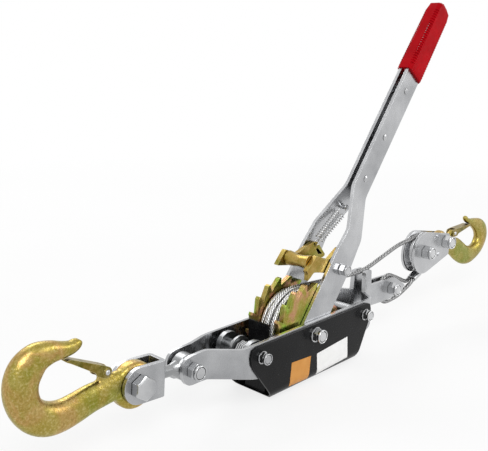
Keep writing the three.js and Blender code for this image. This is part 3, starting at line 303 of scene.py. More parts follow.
# near-black zinc: painted shadow for the rings inside the nuts' collars
PAINTED_SHADOW = zinc("zinc_in_a_thread", (0.015, 0.015, 0.016), (0.03, 0.03, 0.031),
              rough=(0.3, 0.4), grain=EVEN_GRAIN, strength=0.05, edge=0.1)
CAST = zinc("cast_zinc", (0.24, 0.245, 0.25), (0.40, 0.405, 0.41),
            rough=(0.24, 0.38), grain=(260, 260, 260), strength=0.25)
SPRING = zinc("spring_steel", (0.45, 0.455, 0.46), (0.75, 0.755, 0.76),
              rough=(0.14, 0.24), grain=(800, 800, 800), edge=0.9, deep=0.02)
SLEEVE = zinc("sleeve_alloy", (0.42, 0.425, 0.43), (0.62, 0.625, 0.63),
              rough=(0.22, 0.34), grain=EVEN_GRAIN, strength=0.2, edge=0.85, deep=0.5)
GOLD = yellow_zinc("yellow_zinc", [
    (0.34, (0.22, 0.42, 0.03)), (0.41, (0.24, 0.25, 0.03)), (0.48, (0.34, 0.27, 0.05)),
    (0.55, (0.56, 0.24, 0.17)), (0.60, (0.29, 0.25, 0.04)), (0.67, (0.24, 0.42, 0.03)),
], speckle=0.15)
FORGED = yellow_zinc("yellow_zinc_forged", [
    (0.28, (0.24, 0.26, 0.03)), (0.40, (0.30, 0.25, 0.035)), (0.50, (0.38, 0.285, 0.06)),
    (0.58, (0.45, 0.28, 0.09)), (0.66, (0.33, 0.26, 0.045)), (0.78, (0.23, 0.25, 0.035)),
], grit=0.8, grit_scale=420, speckle=0.32)
LATCH = yellow_zinc("yellow_zinc_latch", [
    (0.34, (0.09, 0.085, 0.012)), (0.45, (0.17, 0.13, 0.02)),
    (0.55, (0.26, 0.17, 0.045)), (0.66, (0.13, 0.11, 0.018)),
], speckle=0.15)
PAWL = yellow_zinc("yellow_zinc_pawl", [
    (0.34, (0.20, 0.21, 0.025)), (0.45, (0.27, 0.21, 0.03)),
    (0.55, (0.38, 0.24, 0.055)), (0.66, (0.22, 0.20, 0.025)),
], speckle=0.15)
BLACK = black_paint("black_paint")
ROPE = rope_steel("wire_rope", 0.7, 0.86, 0.97)
ROPE_RUN = rope_steel("wire_rope_run", 0.22, 0.38, 0.58)
RED = red_vinyl("red_vinyl")
WHITE_LABEL = paper("white_label", (0.90, 0.90, 0.89), (0.94, 0.94, 0.93))
ORANGE_LABEL = paper("orange_label", (0.62, 0.27, 0.055), (0.68, 0.32, 0.08))

NODE_MATERIAL = {
    "lower_guard": BLACK, "drum_core": BLACK, "front_latch": LATCH, "rear_latch": LATCH,
    "drive_pawl_near": PAWL, "drive_pawl_far": PAWL, "drive_pawl_yoke": PAWL,
    "hold_pawl_near": CAST, "hold_pawl_far": CAST, "hold_pawl_sleeve": CAST, "swivel_eye": CAST,
    "hold_pawl_spring": SPRING, "thimble": BRIGHT, "ferrule": SLEEVE,
}


def material_of(node):
    """What a node is made of, for the nodes whose own solid is dressed."""
    if node in NODE_MATERIAL:
        return NODE_MATERIAL[node]
    if node.startswith("ratchet"):
        return GOLD
    if node.endswith(("bolt", "nut")) or "rivet" in node:
        return BRIGHT
    return ZINC


BODY_OF = {node: body for body, nodes in frame["record"]["behaviour"]["bodies"].items() for node in nodes}
CAD = {o.name: o for o in bpy.data.objects if o.type == "MESH" and o.name in BODY_OF}


# ---------------------------------------------------------------- mesh helpers
def shade_smooth(mesh):
    for polygon in mesh.polygons:
        polygon.use_smooth = True


def add_object(name, mesh, body, material, smooth=True):
    obj = bpy.data.objects.new(name, mesh)
    bpy.context.scene.collection.objects.link(obj)
    mesh.materials.clear()
    mesh.materials.append(material)
    if smooth:
        shade_smooth(mesh)
    if body:
        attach(obj, body)
    return obj


def apply_modifiers(obj):
    graph = bpy.context.evaluated_depsgraph_get()
    graph.update()
    mesh = bpy.data.meshes.new_from_object(obj.evaluated_get(graph))
    obj.modifiers.clear()
    old = obj.data
    obj.data = mesh
    bpy.data.meshes.remove(old)


def round_edges(obj, width, sharp):
    """A narrow round along every edge that turns by more than the angle sharp (radians)."""
    bevel = obj.modifiers.new("edge", "BEVEL")
    bevel.width = width * MM
    bevel.segments = 2
    bevel.limit_method = "ANGLE"
    bevel.angle_limit = sharp
    bevel.harden_normals = True
    bevel.use_clamp_overlap = True


def face_out(mesh, sharp=None):
    """Turns the faces outwards and, with sharp (radians), breaks the shading where an edge turns by more."""
    bm = bmesh.new()
    bm.from_mesh(mesh)
    bmesh.ops.recalc_face_normals(bm, faces=bm.faces)
    if sharp:
        for edge in bm.edges:
            edge.smooth = edge.calc_face_angle(0) < sharp
    bm.to_mesh(mesh)
    bm.free()


CORNER = math.radians(28)  # a dressed solid's edge is a corner if it turns by more


def copy_of(node, bevel):
    """The node's own solid with its edges rounded."""
    weld, flat = 2e-6, math.radians(1.5)  # metres, and a turn too small for an edge
    mesh = CAD[node].data.copy()
    bm = bmesh.new()
    bm.from_mesh(mesh)
    bmesh.ops.remove_doubles(bm, verts=bm.verts, dist=weld)
    bmesh.ops.dissolve_limit(bm, angle_limit=flat, verts=bm.verts, edges=bm.edges)
    for edge in bm.edges:
        if len(edge.link_faces) == 2:
            edge.smooth = edge.calc_face_angle(0) < CORNER
    bm.to_mesh(mesh)
    bm.free()
    obj = add_object("look_" + node, mesh, BODY_OF[node], material_of(node))
    round_edges(obj, bevel, CORNER)
    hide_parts(node)


def mesh_from_rings(rings, closed=False, along=None):
    """Skins rings of points. Open ends are capped, closed joins the last ring to the first, and
    along (metres) adds a UV that runs once round each ring and along them."""
    count, total = len(rings[0]), len(rings)
    verts = [p for ring in rings for p in ring]
    faces = []
    for i in range(total if closed else total - 1):
        this, after = i * count, (i + 1) % total * count
        for j in range(count):
            k = (j + 1) % count
            faces.append((this + j, this + k, after + k, after + j))
    if not closed:
        faces.append(tuple(range(count - 1, -1, -1)))
        faces.append(tuple((total - 1) * count + j for j in range(count)))
    mesh = bpy.data.meshes.new("form")
    mesh.from_pydata(verts, [], faces)
    if along:
        add_uv(mesh, count, along)
    mesh.validate()
    return mesh


def add_uv(mesh, count, along):
    """Round the rings of count points in the first axis, along them in the second."""
    layer = mesh.uv_layers.new(name="along")
    for polygon in mesh.polygons:
        closes_ring = polygon.vertices[0] % count == count - 1
        for loop in polygon.loop_indices:
            vertex = mesh.loops[loop].vertex_index
            i, j = vertex // count, vertex % count
            if closes_ring and j == 0:
                j = count
            layer.data[loop].uv = (j / count, along[i])


def frames_along(points):
    """Tangent, side and up for each point, carried along without twist."""
    side = Vector((0, 1, 0))
    result = []
    for i in range(len(points)):
        tangent = (points[min(i + 1, len(points) - 1)] - points[max(i - 1, 0)]).normalized()
        side = (side - tangent * side.dot(tangent)).normalized()
        result.append((tangent, side, tangent.cross(side)))
    return result


def distances(points):
    """How far along the line each of its points lies."""
    result = [0.0]
    for a, b in zip(points, points[1:]):
        result.append(result[-1] + (b - a).length)
    return result


def tube_mesh(points, radius, sides, crowns=None):
    """A round tube; each ring starts at its own direction in crowns, or is carried along without twist."""
    rings = []
    for i, (p, (tangent, side, up)) in enumerate(zip(points, frames_along(points))):
        if crowns:
            side = (crowns[i] - tangent * tangent.dot(crowns[i])).normalized()
            up = tangent.cross(side)
        ring = []
        for j in range(sides):
            angle = 2 * math.pi * j / sides
            ring.append(p + (side * math.cos(angle) + up * math.sin(angle)) * radius)
        rings.append(ring)
    return mesh_from_rings(rings, along=distances(points))


def join_meshes(meshes):
    bm = bmesh.new()
    for mesh in meshes:
        bm.from_mesh(mesh)
        bpy.data.meshes.remove(mesh)
    out = bpy.data.meshes.new("joined")
    bm.to_mesh(out)
    bm.free()
    return out


def lathe_y(profile, centre, sides=48):
    """A turned form about a Y line through (x, z), from (radius, y), closed on itself."""
    rings = []
    for j in range(sides):
        angle = 2 * math.pi * j / sides
        cos, sin = math.cos(angle), math.sin(angle)
        rings.append([Vector((centre[0] + r * cos, y, centre[1] + r * sin)) for r, y in profile])
    return mesh_from_rings(rings, closed=True)


def place(x, z, y=0.0):
    """From a place round the axle (mm) to the model's frame (metres)."""
    return Vector((x * MM, y * MM, (z + AXLE) * MM))


def polar(centre, radius, degrees):
    """A place at a radius and an angle round a centre, as (x, z)."""
    angle = math.radians(degrees)
    return centre[0] + radius * math.cos(angle), centre[1] + radius * math.sin(angle)


def on_line(a, b, start, end, t):
    """Where a line that passes a at start and b at end is at t."""
    return a * ((end - t) / (end - start)) + b * ((t - start) / (end - start))


def smooth_route(points, step):
    """Evenly spaced points on a centripetal curve through the given ones (metres)."""
    per_span = 24
    route = [points[0] * 2 - points[1], *points, points[-1] * 2 - points[-2]]
    dense = []
    for four in zip(route, route[1:], route[2:], route[3:]):
        knots = [0.0]
        for a, b in zip(four, four[1:]):
            knots.append(knots[-1] + max((b - a).length, 1e-9) ** 0.5)
        p0, p1, p2, p3 = four
        t0, t1, t2, t3 = knots
        for k in range(per_span):
            t = t1 + (t2 - t1) * k / per_span
            a1 = on_line(p0, p1, t0, t1, t)
            a2 = on_line(p1, p2, t1, t2, t)
            a3 = on_line(p2, p3, t2, t3, t)
            b1 = on_line(a1, a2, t0, t2, t)
            b2 = on_line(a2, a3, t1, t3, t)
            dense.append(on_line(b1, b2, t1, t2, t))
    dense.append(points[-1].copy())
    return even(dense, step)


def even(points, step):
    """The same line in points about a step apart."""
    lengths = distances(points)
    count = max(2, round(lengths[-1] / step))
    out, i = [], 0
    for k in range(count + 1):
        want = lengths[-1] * k / count
        while i + 2 < len(lengths) and lengths[i + 1] < want:
            i += 1
        stretch = lengths[i + 1] - lengths[i]
        share = (want - lengths[i]) / stretch if stretch else 0.0
        out.append(points[i].lerp(points[i + 1], min(1.0, share)))
    return out


# ---------------------------------------------------------------- wire rope
ROPE_RADIUS = 2.5
STRANDS = 6
STRAND_RADIUS = 0.86
CORE_RADIUS = 0.8
LAY = 19.0  # length of one twist of the strands


def rope(name, points, body, node, material=ROPE_RUN):
    """Six strands laid round a core strand along evenly spaced points."""
    core = points[::2] if len(points) > 8 else points
    meshes = [tube_mesh(core, CORE_RADIUS * MM, 6)]
    frames, lengths = frames_along(points), distances(points)
    for k in range(STRANDS):
        line, outwards = [], []
        for p, (_, side, up), s in zip(points, frames, lengths):
            angle = 2 * math.pi * (k / STRANDS - s / (LAY * MM))
            outwards.append(side * math.cos(angle) + up * math.sin(angle))
            line.append(p + outwards[-1] * (ROPE_RADIUS - STRAND_RADIUS) * MM)
        meshes.append(tube_mesh(line, STRAND_RADIUS * MM, 8, outwards))
    obj = add_object(name, join_meshes(meshes), body, material)
    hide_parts(node)
    return obj


# ---------------------------------------------------------------- the cable on the drum
DRUM_RADIUS, DRUM_HALF = 28.0, 14.0  # the core, and half the distance between the ratchet wheels
ROPE_PITCH = 2 * ROPE_RADIUS + 0.5
FIRST_LAYER = DRUM_RADIUS + ROPE_RADIUS + 0.2
LAST_LAYER = FIRST_LAYER + 2 * ROPE_PITCH
GUIDE = (106.5, 34.0)  # the cable leaves the drum on the tangent through this place
LEAVE_ANGLE = math.atan2(GUIDE[1], GUIDE[0]) + math.acos(LAST_LAYER / math.hypot(*GUIDE))
LEAVE_DIRECTION = Vector((math.sin(LEAVE_ANGLE), 0, -math.cos(LEAVE_ANGLE)))


def winding_points():
    """Three layers from the core outwards, then a short straight end on the tangent."""
    steps_per_turn = 120
    edge = DRUM_HALF - ROPE_RADIUS - GAP
    second = FIRST_LAYER + ROPE_PITCH
    stretches = [  # turns, the radius from and to, the place across the drum from and to
        (3.5, (FIRST_LAYER, FIRST_LAYER), (-edge, edge)),
        (0.5, (FIRST_LAYER, second), (edge, edge)),
        (3.0, (second, second), (edge, -edge)),
        (0.5, (second, LAST_LAYER), (-edge, -edge)),
        (1.5, (LAST_LAYER, LAST_LAYER), (-edge, 0)),
    ]
    total = sum(turns for turns, _, _ in stretches)
    done, points = 0.0, []
    for turns, radii, across in stretches:
        steps = int(turns * steps_per_turn)
        for i in range(1 if points else 0, steps + 1):
            share = i / steps
            angle = LEAVE_ANGLE + 2 * math.pi * (total - done - turns * share)
            radius = radii[0] + (radii[1] - radii[0]) * share
            y = across[0] + (across[1] - across[0]) * share
            points.append(place(radius * math.cos(angle), radius * math.sin(angle), y))
        done += turns
    points.append(points[-1] + LEAVE_DIRECTION * 2 * ROPE_RADIUS * MM)
    return even(points, 1.5 * MM)


winding = winding_points()
rope("winding_rope", winding, "drum", "cable_winding", ROPE)


# ---------------------------------------------------------------- the cable round the sheave and back
SHEAVE = (236.0, 34.5)
ROPE_ON_SHEAVE = 20.0  # radius of the cable's middle
SHEAVE_START, SHEAVE_END = 96, -55  # degrees, where the cable meets the sheave and leaves it


def on_sheave(degrees, radius=ROPE_ON_SHEAVE):
    return polar(SHEAVE, radius, degrees)


FERRULE, FERRULE_HALF = (229.9, 4), 7.5  # its middle and half its length
FERRULE_TURN = math.radians(20)
STRAND_OFFSET = ROPE_RADIUS + 0.25  # of each of the two ends that lie side by side in the ferrule


def by_ferrule(distance, side):
    """A place along the ferrule's own line from its middle, and beside that line."""
    cos, sin = math.cos(FERRULE_TURN), math.sin(FERRULE_TURN)
    return FERRULE[0] + distance * cos - side * sin, FERRULE[1] + distance * sin + side * cos


run_start = winding[-1] + LEAVE_DIRECTION * GAP * MM
straight = 50 / LEAVE_DIRECTION.x  # the run keeps to the drum's tangent for 50 mm of X
upper = [run_start, run_start + LEAVE_DIRECTION * straight * MM]
upper += [place(x, z) for x, z in (
    GUIDE, (118, 34.4), (130, 36.2), (161, 43.6), (190, 50.2),
    on_sheave(112, 20.5), on_sheave(SHEAVE_START + 0.8))]

lower = [place(x, z) for x, z in (
    on_sheave(SHEAVE_END - 0.8), on_sheave(SHEAVE_END - 10, 20.6), (243.2, 11.2),
    by_ferrule(FERRULE_HALF + 4.4, 0.3), by_ferrule(FERRULE_HALF + 0.7, 0))]

# the strand that runs back from the ferrule round the thimble: (x, z) and the place across
EYE, EYE_RADIUS = (170, 1.5), 16
eye = [place(x, z, y) for (x, z), y in (
    (by_ferrule(-FERRULE_HALF - 0.7, 0), STRAND_OFFSET), (by_ferrule(-FERRULE_HALF - 4, 0.3), 2.7),
    (by_ferrule(-FERRULE_HALF - 9, 1.9), 2.1), ((199, 6), 0.8), ((186, 12), 0),
    *[(polar(EYE, EYE_RADIUS, degrees), 0) for degrees in range(85, 261, 25)],
    ((181, -14.4), 0), ((194, -12.2), -0.6), ((206, -7.6), -1.5),
    (by_ferrule(-FERRULE_HALF - 7, -1.6), -2.3), (by_ferrule(-FERRULE_HALF - 4, -0.4), -2.7),
    (by_ferrule(-FERRULE_HALF - 0.7, 0), -STRAND_OFFSET))]

upper_rope = rope("upper_rope", smooth_route(upper, 1.2 * MM), None, "cable_upper_run")
lower_rope = rope("lower_rope", smooth_route(lower, 1.0 * MM), None, "cable_lower_run")
rope("eye_rope", smooth_route(eye, 1.2 * MM), "frame", "cable_eye")
wrap = [place(*on_sheave(SHEAVE_START + (SHEAVE_END - SHEAVE_START) * i / 60)) for i in range(61)]
rope("sheave_rope", wrap, "pulley_block", "cable_on_sheave")
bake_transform(upper_rope)
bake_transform(lower_rope)


# ---------------------------------------------------------------- hooks
SECTION_POWER = 0.86  # 1 makes the bar's section an ellipse, less squares it
# The eye's middle drops from the bolt's, in a bore that is wider by as much.
# The spine goes from bolt to point: (out, up, half width, half thickness).
HOOKS = {
    "front_hook": {
        "radius": 20.2, "thickness": 13.4, "drop": 1.8, "bolt": 7.0, "lug": (27.1, 19.7),
        "spine": [
            (12.4, 2.6, 12.4, 6.6), (19.5, 2.9, 12.2, 6.7), (30.9, 1.7, 11.6, 7.2), (42.4, 0.8, 12, 7.8),
            (54.9, -1.5, 12.3, 8.5), (67.7, -3, 12.7, 9.2), (79.5, -1.3, 13.4, 9.8), (89.4, 4.4, 13.3, 10),
            (96.6, 13.8, 12.9, 10.2), (99.4, 25.2, 13.3, 10.2), (98.1, 35.7, 13.7, 10),
            (92.9, 44, 13.8, 9.4), (84.4, 49.6, 12, 8.6), (73.7, 50.7, 9.1, 7.4), (63.2, 49.2, 6.8, 6.2),
            (55, 48.8, 5.4, 5.2), (49.6, 50.8, 4.6, 4.4), (47.6, 53, 2.8, 3),
        ],
    },
    "rear_hook": {
        "radius": 13.5, "thickness": 11, "drop": 0.6, "bolt": 5.5, "lug": (27.5, 16.6),
        "spine": [
            (8, 1.5, 9.5, 4.6), (21.4, 0.3, 10.6, 4.7), (33.7, 0.4, 11.1, 5), (46.2, 0.6, 13.4, 5.5),
            (59.6, -1.4, 13.8, 5.9), (73.3, -2.8, 13.1, 6.4), (86.2, -0.7, 12.2, 6.9), (97, 5.1, 10.7, 7),
            (105.9, 13.8, 10, 7.1), (109.8, 24, 11.1, 7.1), (109.2, 32.6, 12.3, 7),
            (103.7, 38.8, 12.6, 6.6), (94.3, 42.2, 10.5, 6), (81.2, 42.6, 7, 5.2), (69, 41.7, 4.2, 4.3),
            (60, 41.2, 3.4, 3.6), (54, 43, 3.4, 3.1), (52.2, 45.2, 2.2, 2),
        ],
    },
}


def curve_values(rows, per_span):
    """Catmull-Rom through rows of numbers."""
    rows = [rows[0], *rows, rows[-1]]
    out = []
    for a, b, c, d in zip(rows, rows[1:], rows[2:], rows[3:]):
        for k in range(per_span):
            t = k / per_span
            out.append([0.5 * (2 * q + (r - p) * t + (2 * p - 5 * q + 4 * r - s) * t * t
                               + (3 * q - p - 3 * r + s) * t ** 3) for p, q, r, s in zip(a, b, c, d)])
    out.append(list(rows[-2]))
    return out


def hook_bar(spine):
    """The forged bar from the eye round the bowl to the point, in mm, the bowl towards +X."""
    sides = 32
    rows = curve_values(spine, 6)
    rings = []
    for i, (out, up, wide, thick) in enumerate(rows):
        ahead, behind = rows[min(i + 1, len(rows) - 1)], rows[max(i - 1, 0)]
        heading = math.atan2(ahead[1] - behind[1], ahead[0] - behind[0])
        ring = []
        for j in range(sides):
            angle = 2 * math.pi * j / sides
            cos, sin = math.cos(angle), math.sin(angle)
            w = wide * math.copysign(abs(cos) ** SECTION_POWER, cos)
            y = thick * math.copysign(abs(sin) ** SECTION_POWER, sin)
            ring.append(Vector((out - w * math.sin(heading), y, up + w * math.cos(heading))))
        rings.append(ring)
    return mesh_from_rings(rings)


def hook_eye(design):
    """The flat ring round the bolt, chamfered at its bore and rounded outside."""
    drop, r, half = design["drop"], design["radius"], design["thickness"] / 2
    bore = design["bolt"] + GAP + drop
    return lathe_y([(bore, -half + 0.8), (bore + 0.8, -half), (r - 3.6, -half), (r - 1.2, -half + 1.0),
                    (r, -half + 3), (r, half - 3), (r - 1.2, half - 1.0), (r - 3.6, half),
                    (bore + 0.8, half), (bore, half - 0.8)], (0, -drop))


def hook_lug(x, z):
    """The lug that carries the latch."""
    outline = ((-8.5, -9), (6.5, -9), (4.6, 1), (2.4, 2.8), (-1.8, 3.6), (-3.8, 2))
    return mesh_from_rings([[Vector((x + right, y, z + up)) for right, up in outline] for y in (-3, 3)])


def forge(obj):
    """Melts the bar, the eye and the lug into one smooth form."""
    remesh = obj.modifiers.new("remesh", "REMESH")
    remesh.mode = "VOXEL"
    remesh.voxel_size = 0.8 * MM
    smooth = obj.modifiers.new("smooth", "CORRECTIVE_SMOOTH")
    smooth.factor = 0.5
    smooth.iterations = 5
    smooth.use_only_smooth = True
    apply_modifiers(obj)
    obj.data.materials.clear()
    obj.data.materials.append(FORGED)
    shade_smooth(obj.data)


def add_hook(node, bolt, turn, along_x):
    """Hangs the forged form and its latch's pin on a bolt: turn (degrees) tips the hook about Y,
    and along_x says whether it points along X or against it."""
    design = HOOKS[node]
    flip = Matrix.Identity(4) if along_x else Matrix.Rotation(math.pi, 4, "Z")
    turned = Matrix.Rotation(math.radians(-turn if along_x else turn), 4, "Y")
    move = Matrix.Translation(place(*bolt)) @ turned @ flip @ Matrix.Scale(MM, 4)
    mesh = join_meshes([hook_bar(design["spine"]), hook_eye(design), hook_lug(*design["lug"])])
    mesh.transform(move)
    obj = add_object("look_" + node, mesh, BODY_OF[node], FORGED)
    face_out(mesh)
    forge(obj)
    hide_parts(node)
    profile = [(0.05, -6.9), (1.6, -6.8), (2.3, -6.2), (2.3, 6.2), (1.6, 6.8), (0.05, 6.9)]
    pin = lathe_y(profile, design["lug"], 24)
    pin.transform(move)
    add_object("latch_pin_" + node, pin, BODY_OF[node], BRIGHT)


NOSE_BOLT = (-147, 3.5)
CLEVIS_REACH, CHAIN_PITCH = 57, math.radians(4)  # from nose bolt to clevis bolt, and how far it points up
CLEVIS_BOLT = (NOSE_BOLT[0] - CLEVIS_REACH * math.cos(CHAIN_PITCH),
               NOSE_BOLT[1] + CLEVIS_REACH * math.sin(CHAIN_PITCH))
REAR_HOOK_BOLT = (SHEAVE[0] + 47.3, SHEAVE[1] + 4.5)
add_hook("front_hook", CLEVIS_BOLT, -1.5, False)
add_hook("rear_hook", REAR_HOOK_BOLT, -23, True)


# ---------------------------------------------------------------- the two springs of the drive pawl
LEAN = math.radians(38)  # the handle's, from upright towards the pulley block
SPRING_FOOT = 13.3  # the springs' feet across the handle, on the pawl's ear
SPRING_PIN = (1.5, 141)  # the pin that both hang on, across and along the handle
COIL_TURNS, COIL_STEPS = 13, 14
COIL_RADIUS, COIL_WIRE = 2.75, 0.52  # to the wire's middle, and the wire's own radius
SHANK, SHANK_BEND = 7.0, 2.6  # the straight end, and its last stretch, which bends into the coil
LOOP_STEPS, LOOP_TURN = 12, 24  # the loop round the pin, in steps of so many degrees


def on_handle(x, z, y=0.0):
    """From a place across and along the handle (mm) to the model's frame (metres)."""
    return place(x * math.cos(LEAN) + z * math.sin(LEAN), -x * math.sin(LEAN) + z * math.cos(LEAN), y)


def pull_spring(name, foot, top, y, hand):
    """A close coil between two straight shanks, the upper one looped round the pin at y, by hand 1 or -1."""
    low, high = on_handle(*foot, SPRING_FOOT), on_handle(*top, y)
    axis = (high - low).normalized()
    side = (Vector((0, 1, 0)) - axis * axis.y).normalized()
    other = axis.cross(side)
    start, end = low + axis * SHANK * MM, high - axis * SHANK * MM
    points = [low, low + axis * (SHANK - SHANK_BEND) * MM]
    steps = COIL_TURNS * COIL_STEPS
    for i in range(steps + 1):
        angle = 2 * math.pi * i / COIL_STEPS
        outwards = side * math.cos(angle) + other * math.sin(angle)
        points.append(start.lerp(end, i / steps) + outwards * COIL_RADIUS * MM)
    points += [high - axis * (SHANK - SHANK_BEND) * MM, high - axis * 1.5 * MM]
    pin = on_handle(*SPRING_PIN, y)
    first = high - axis * 1.0 * MM - pin
    for i in range(1, LOOP_STEPS + 1):
        turn = Matrix.Rotation(math.radians(-LOOP_TURN * i * hand), 3, "Y")
        points.append(pin + (turn @ first).normalized() * COIL_RADIUS * MM)
    obj = add_object(name, tube_mesh(points, COIL_WIRE * MM, 8), None, SPRING)
    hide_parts("drive_" + name)
    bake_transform(obj)


pull_spring("spring_left", (-9.8, 90.6), (-1.35, 139.7), 7.2, 1)
pull_spring("spring_right", (-4.4, 88.2), (3.2, 138.4), 2.4, -1)


# ---------------------------------------------------------------- ribbed grip
GRIP_CORNER = math.radians(24)  # an edge of the grip is a corner if it turns by more


def grip_mesh():
    """An eight-sided sleeve with fine ribs on its corner faces, a rolled mouth and a blunt end."""
    ribs, first_rib, ribbed = 24, 318, 77  # their number, the first one's place and the length of all
    wide, thick, narrowing = 15.5, 9.4, 1.1  # half sizes at the first rib, and what is lost by the last
    rings = []

    def ring(along, across, deep, chamfer):
        corners = [(across, -deep + chamfer), (across, deep - chamfer), (across - chamfer, deep),
                   (-across + chamfer, deep), (-across, deep - chamfer), (-across, -deep + chamfer),
                   (-across + chamfer, -deep), (across - chamfer, -deep)]
        rings.append([on_handle(x, along, y) for x, y in corners])

    for mouth in ((312.4, 14.7, 8.6), (312, 15.2, 9.0), (312.6, 15.5, 9.2), (316, 15.4, 9.3)):
        ring(*mouth, 3.2)
    for i in range(ribs):
        base = first_rib + ribbed * i / ribs
        taper = narrowing * i / ribs
        for step, cut in ((0.05, 3.0), (0.2, 4.7), (0.6, 4.7), (0.75, 3.0)):
            ring(base + step * ribbed / ribs, wide - taper, thick - taper * 0.4, cut)
    for end in ((396, 14.4, 9.0, 3.4), (404, 12.8, 8.6, 3.4), (408.8, 6.8, 6.0, 2.4)):
        ring(*end)
    return mesh_from_rings(rings)


grip = add_object("look_grip", grip_mesh(), "handle", RED)
face_out(grip.data, GRIP_CORNER)
round_edges(grip, 0.35, GRIP_CORNER)
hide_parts("grip")


# ---------------------------------------------------------------- the rest of the solids, edges rounded
BEVELS = {"lower_guard": 0.35, "swivel_eye": 0.7, "clevis": 1.0, "sheave": 0.35,
          "side_plate_near": 0.5, "side_plate_far": 0.5, "handle_bar_near": 0.6, "handle_bar_far": 0.6}
SMALL_BEVEL = 0.3
MADE_ABOVE = {"cable_winding", "cable_upper_run", "cable_lower_run", "cable_eye", "cable_on_sheave",
              "front_hook", "rear_hook", "drive_spring_left", "drive_spring_right", "grip"}
for node in sorted(BODY_OF):
    if node not in MADE_ABOVE:
        copy_of(node, BEVELS.get(node, SMALL_BEVEL))


# ---------------------------------------------------------------- lock nuts' collars round the bolts' ends
# All in bolt radii. A profile's points are (radius, distance out from the nut's face).
NUT_HEIGHT = 1.5
COLLAR = ((1.12, 0.1), (1.12, 0.5), (1.16, 0.58), (1.3, 0.58), (1.38, 0.48), (1.42, -0.05))
# a thin near-black ring inside the collar, a painted shadow
COLLAR_SHADOW_RING = ((1.0, 0.1), (1.0, 0.3), (1.13, 0.3), (1.13, 0.1))
BOLT_TIP = 0.52


def lock_collar(node, radius, tail):
    """The nut's raised collar, a near-black ring of painted shadow inside it and the bolt's end level with
    it.
    """
    low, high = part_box(node)
    centre = (low[0] + high[0]) / 2, (low[2] + high[2]) / 2
    face = low[1] + (tail - NUT_HEIGHT * radius) * MM

    def turned(profile):
        return lathe_y([(r * radius * MM, face - out * radius * MM) for r, out in profile], centre, 32)

    add_object("collar_" + node, turned(COLLAR), BODY_OF[node], BRIGHT)
    # the ring of painted shadow inside the collar
    add_object("gap_" + node, turned(COLLAR_SHADOW_RING), BODY_OF[node], PAINTED_SHADOW, smooth=False)
    for vertex in bpy.data.objects["look_" + node].data.vertices:
        vertex.co.y = max(vertex.co.y, face - BOLT_TIP * radius * MM)


# bolt node: its radius and how far it stands past the nut's seat
BOLT_ENDS = {
    "axle_bolt": (5, 12), "pawl_shaft_bolt": (4, 9), "rear_frame_bolt": (4, 8.8),
    "nose_bolt": (5, 11), "anchor_bolt": (5, 11), "drive_pawl_bolt": (4, 8.8),
    "sheave_bolt": (5.5, 12.1), "rear_hook_bolt": (5.5, 12.1),
}
for bolt, (radius, tail) in BOLT_ENDS.items():
    lock_collar(bolt, radius, tail)


# ---------------------------------------------------------------- bare plates on the guard
WALL, FOLD = -28.9, 12.0  # outer face of the guard's wall and outer radius of its fold


def guard_face(z):
    """Where the guard's outside lies across the part, at a height from the axle."""
    below = -AXLE + FOLD - z
    return WALL if below <= 0 else WALL + FOLD - math.sqrt(FOLD ** 2 - below ** 2)


def bare_plate(name, corners, material):
    """A thin sheet on the guard's wall, from its corners top left, top right, low right and low left."""
    steps, inner, outer = 12, 0.02, 0.2  # rows down the sheet, and its two faces off the wall
    top_left, top_right, low_right, low_left = (Vector(c) for c in corners)
    rings = []
    for i in range(steps + 1):
        left, right = top_left.lerp(low_left, i / steps), top_right.lerp(low_right, i / steps)
        rings.append([place(*corner, guard_face(corner.y) - off) for corner, off in
                      ((left, inner), (left, outer), (right, outer), (right, inner))])
    add_object(name, mesh_from_rings(rings), "frame", material, smooth=False)


bare_plate("plate_white", ((4, -21.7), (54.4, -17.9), (55.6, -41.6), (5.1, -44.9)), WHITE_LABEL)
bare_plate("plate_orange", ((-34.8, -19.5), (-5.7, -21.2), (-8.6, -45), (-37.7, -43.6)), ORANGE_LABEL)


# ---------------------------------------------------------------- camera
FOCAL, PHOTO_WIDTH = 750, 488  # pixels
SENSOR = 36  # mm
CAMERA_PLACE = (-0.551228, -0.461597, 0.326917)  # metres
CAMERA_TURN = (-46.0577, 13.4119, -0.3252)  # azimuth, elevation and roll, in degrees


def camera():
    """The photograph's view."""
    data = bpy.data.cameras.new("camera")
    data.sensor_width = SENSOR
    data.lens = FOCAL / PHOTO_WIDTH * SENSOR
    data.clip_start = 0.01
    data.clip_end = 20
    obj = bpy.data.objects.new("camera", data)
    bpy.context.scene.collection.objects.link(obj)
    azimuth, elevation, roll = (math.radians(degrees) for degrees in CAMERA_TURN)
    back = Vector((math.sin(azimuth) * math.cos(elevation), -math.cos(azimuth) * math.cos(elevation),
                   math.sin(elevation)))
    level = Vector((math.cos(azimuth), math.sin(azimuth), 0))
    upright = back.cross(level)
    right = level * math.cos(roll) - upright * math.sin(roll)
    up = level * math.sin(roll) + upright * math.cos(roll)
    rotation = Matrix((right, up, back)).transposed().to_4x4()
    obj.matrix_world = Matrix.Translation(CAMERA_PLACE) @ rotation
    bpy.context.scene.camera = obj


camera()


# ---------------------------------------------------------------- floor, lamps and world
def seen(tree):
    """1 for a ray that looks at the surface, in a reflection or through glass too, 0 for its light."""
    path = tree.nodes.new("ShaderNodeLightPath")
    result = path.outputs["Is Camera Ray"]
    for kind in ("Is Glossy Ray", "Is Transmission Ray"):
        larger = tree.nodes.new("ShaderNodeMath")
        larger.operation = "MAXIMUM"
        tree.links.new(result, larger.inputs[0])
        tree.links.new(path.outputs[kind], larger.inputs[1])
        result = larger.outputs[0]
    return result


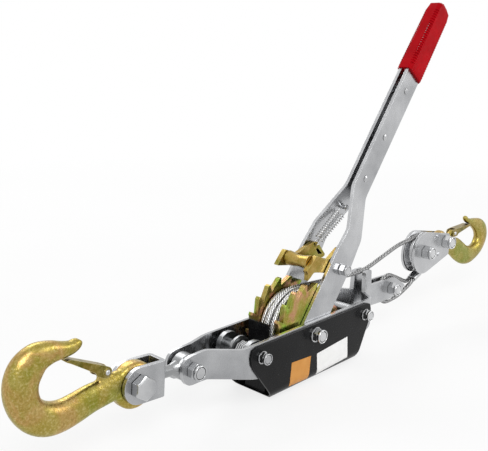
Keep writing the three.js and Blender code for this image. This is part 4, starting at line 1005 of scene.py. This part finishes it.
def stage():
    """A pale floor that keeps the shadow and fades to white away from the object."""
    reach = 6  # metres
    mesh = bpy.data.meshes.new("floor")
    mesh.from_pydata([(-reach, -reach, 0), (reach, -reach, 0), (reach, reach, 0), (-reach, reach, 0)],
                     [], [(0, 1, 2, 3)])
    floor = bpy.data.objects.new("floor", mesh)
    floor.location.z = -0.0008  # a hair under the part
    bpy.context.scene.collection.objects.link(floor)
    m = Nodes("pale_floor")
    m.drive("Base Color", m.ramp(m.noise(4, 2), [(0.3, (0.86, 0.86, 0.86)), (0.7, (0.89, 0.89, 0.89))]))
    m.set(Roughness=0.8)
    white = m.new("ShaderNodeEmission")
    white.inputs["Color"].default_value = (1, 1, 1, 1)
    far = m.new("ShaderNodeVectorMath", operation="LENGTH")
    m.link(m.coord.outputs["Object"], far.inputs[0])
    fade = m.span(far.outputs["Value"], 0.78, 1.0, 0.5, 1.6)
    mix = m.new("ShaderNodeMixShader")
    m.link(m.math("MULTIPLY", seen(m.tree), fade), mix.inputs[0])
    m.link(m.shader.outputs[0], mix.inputs[1])
    m.link(white.outputs[0], mix.inputs[2])
    m.link(mix.outputs[0], m.tree.nodes["Material Output"].inputs["Surface"])
    floor.data.materials.append(m.mat)


stage()


def lamp(name, location, aim, energy, size):
    """A rectangular lamp, in watts and metres."""
    data = bpy.data.lights.new(name, "AREA")
    data.energy = energy
    data.shape = "RECTANGLE"
    data.size, data.size_y = size
    obj = bpy.data.objects.new(name, data)
    obj.location = location
    obj.rotation_euler = (Vector(aim) - Vector(location)).to_track_quat("-Z", "Y").to_euler()
    bpy.context.scene.collection.objects.link(obj)


lamp("key", (-0.9, -1.1, 1.5), (0, 0, 0.08), 16, (0.9, 0.9))
lamp("fill", (1.2, -1.2, 0.8), (0, 0, 0.1), 6, (0.8, 0.8))
lamp("rim", (0.3, 1.3, 1.2), (0, 0, 0.1), 8, (1.0, 0.5))


def studio():
    """A world that is white where it is looked at and dimmer as a light."""
    world = bpy.data.worlds.new("studio")
    bpy.context.scene.world = world
    world.use_nodes = True
    tree = world.node_tree
    background = tree.nodes["Background"]
    background.inputs["Color"].default_value = (1, 1, 1, 1)
    level = tree.nodes.new("ShaderNodeMapRange")
    level.inputs["To Min"].default_value = 0.55
    level.inputs["To Max"].default_value = 1.0
    tree.links.new(seen(tree), level.inputs["Value"])
    tree.links.new(level.outputs[0], background.inputs["Strength"])


studio()
bpy.context.scene.view_settings.view_transform = "Standard"
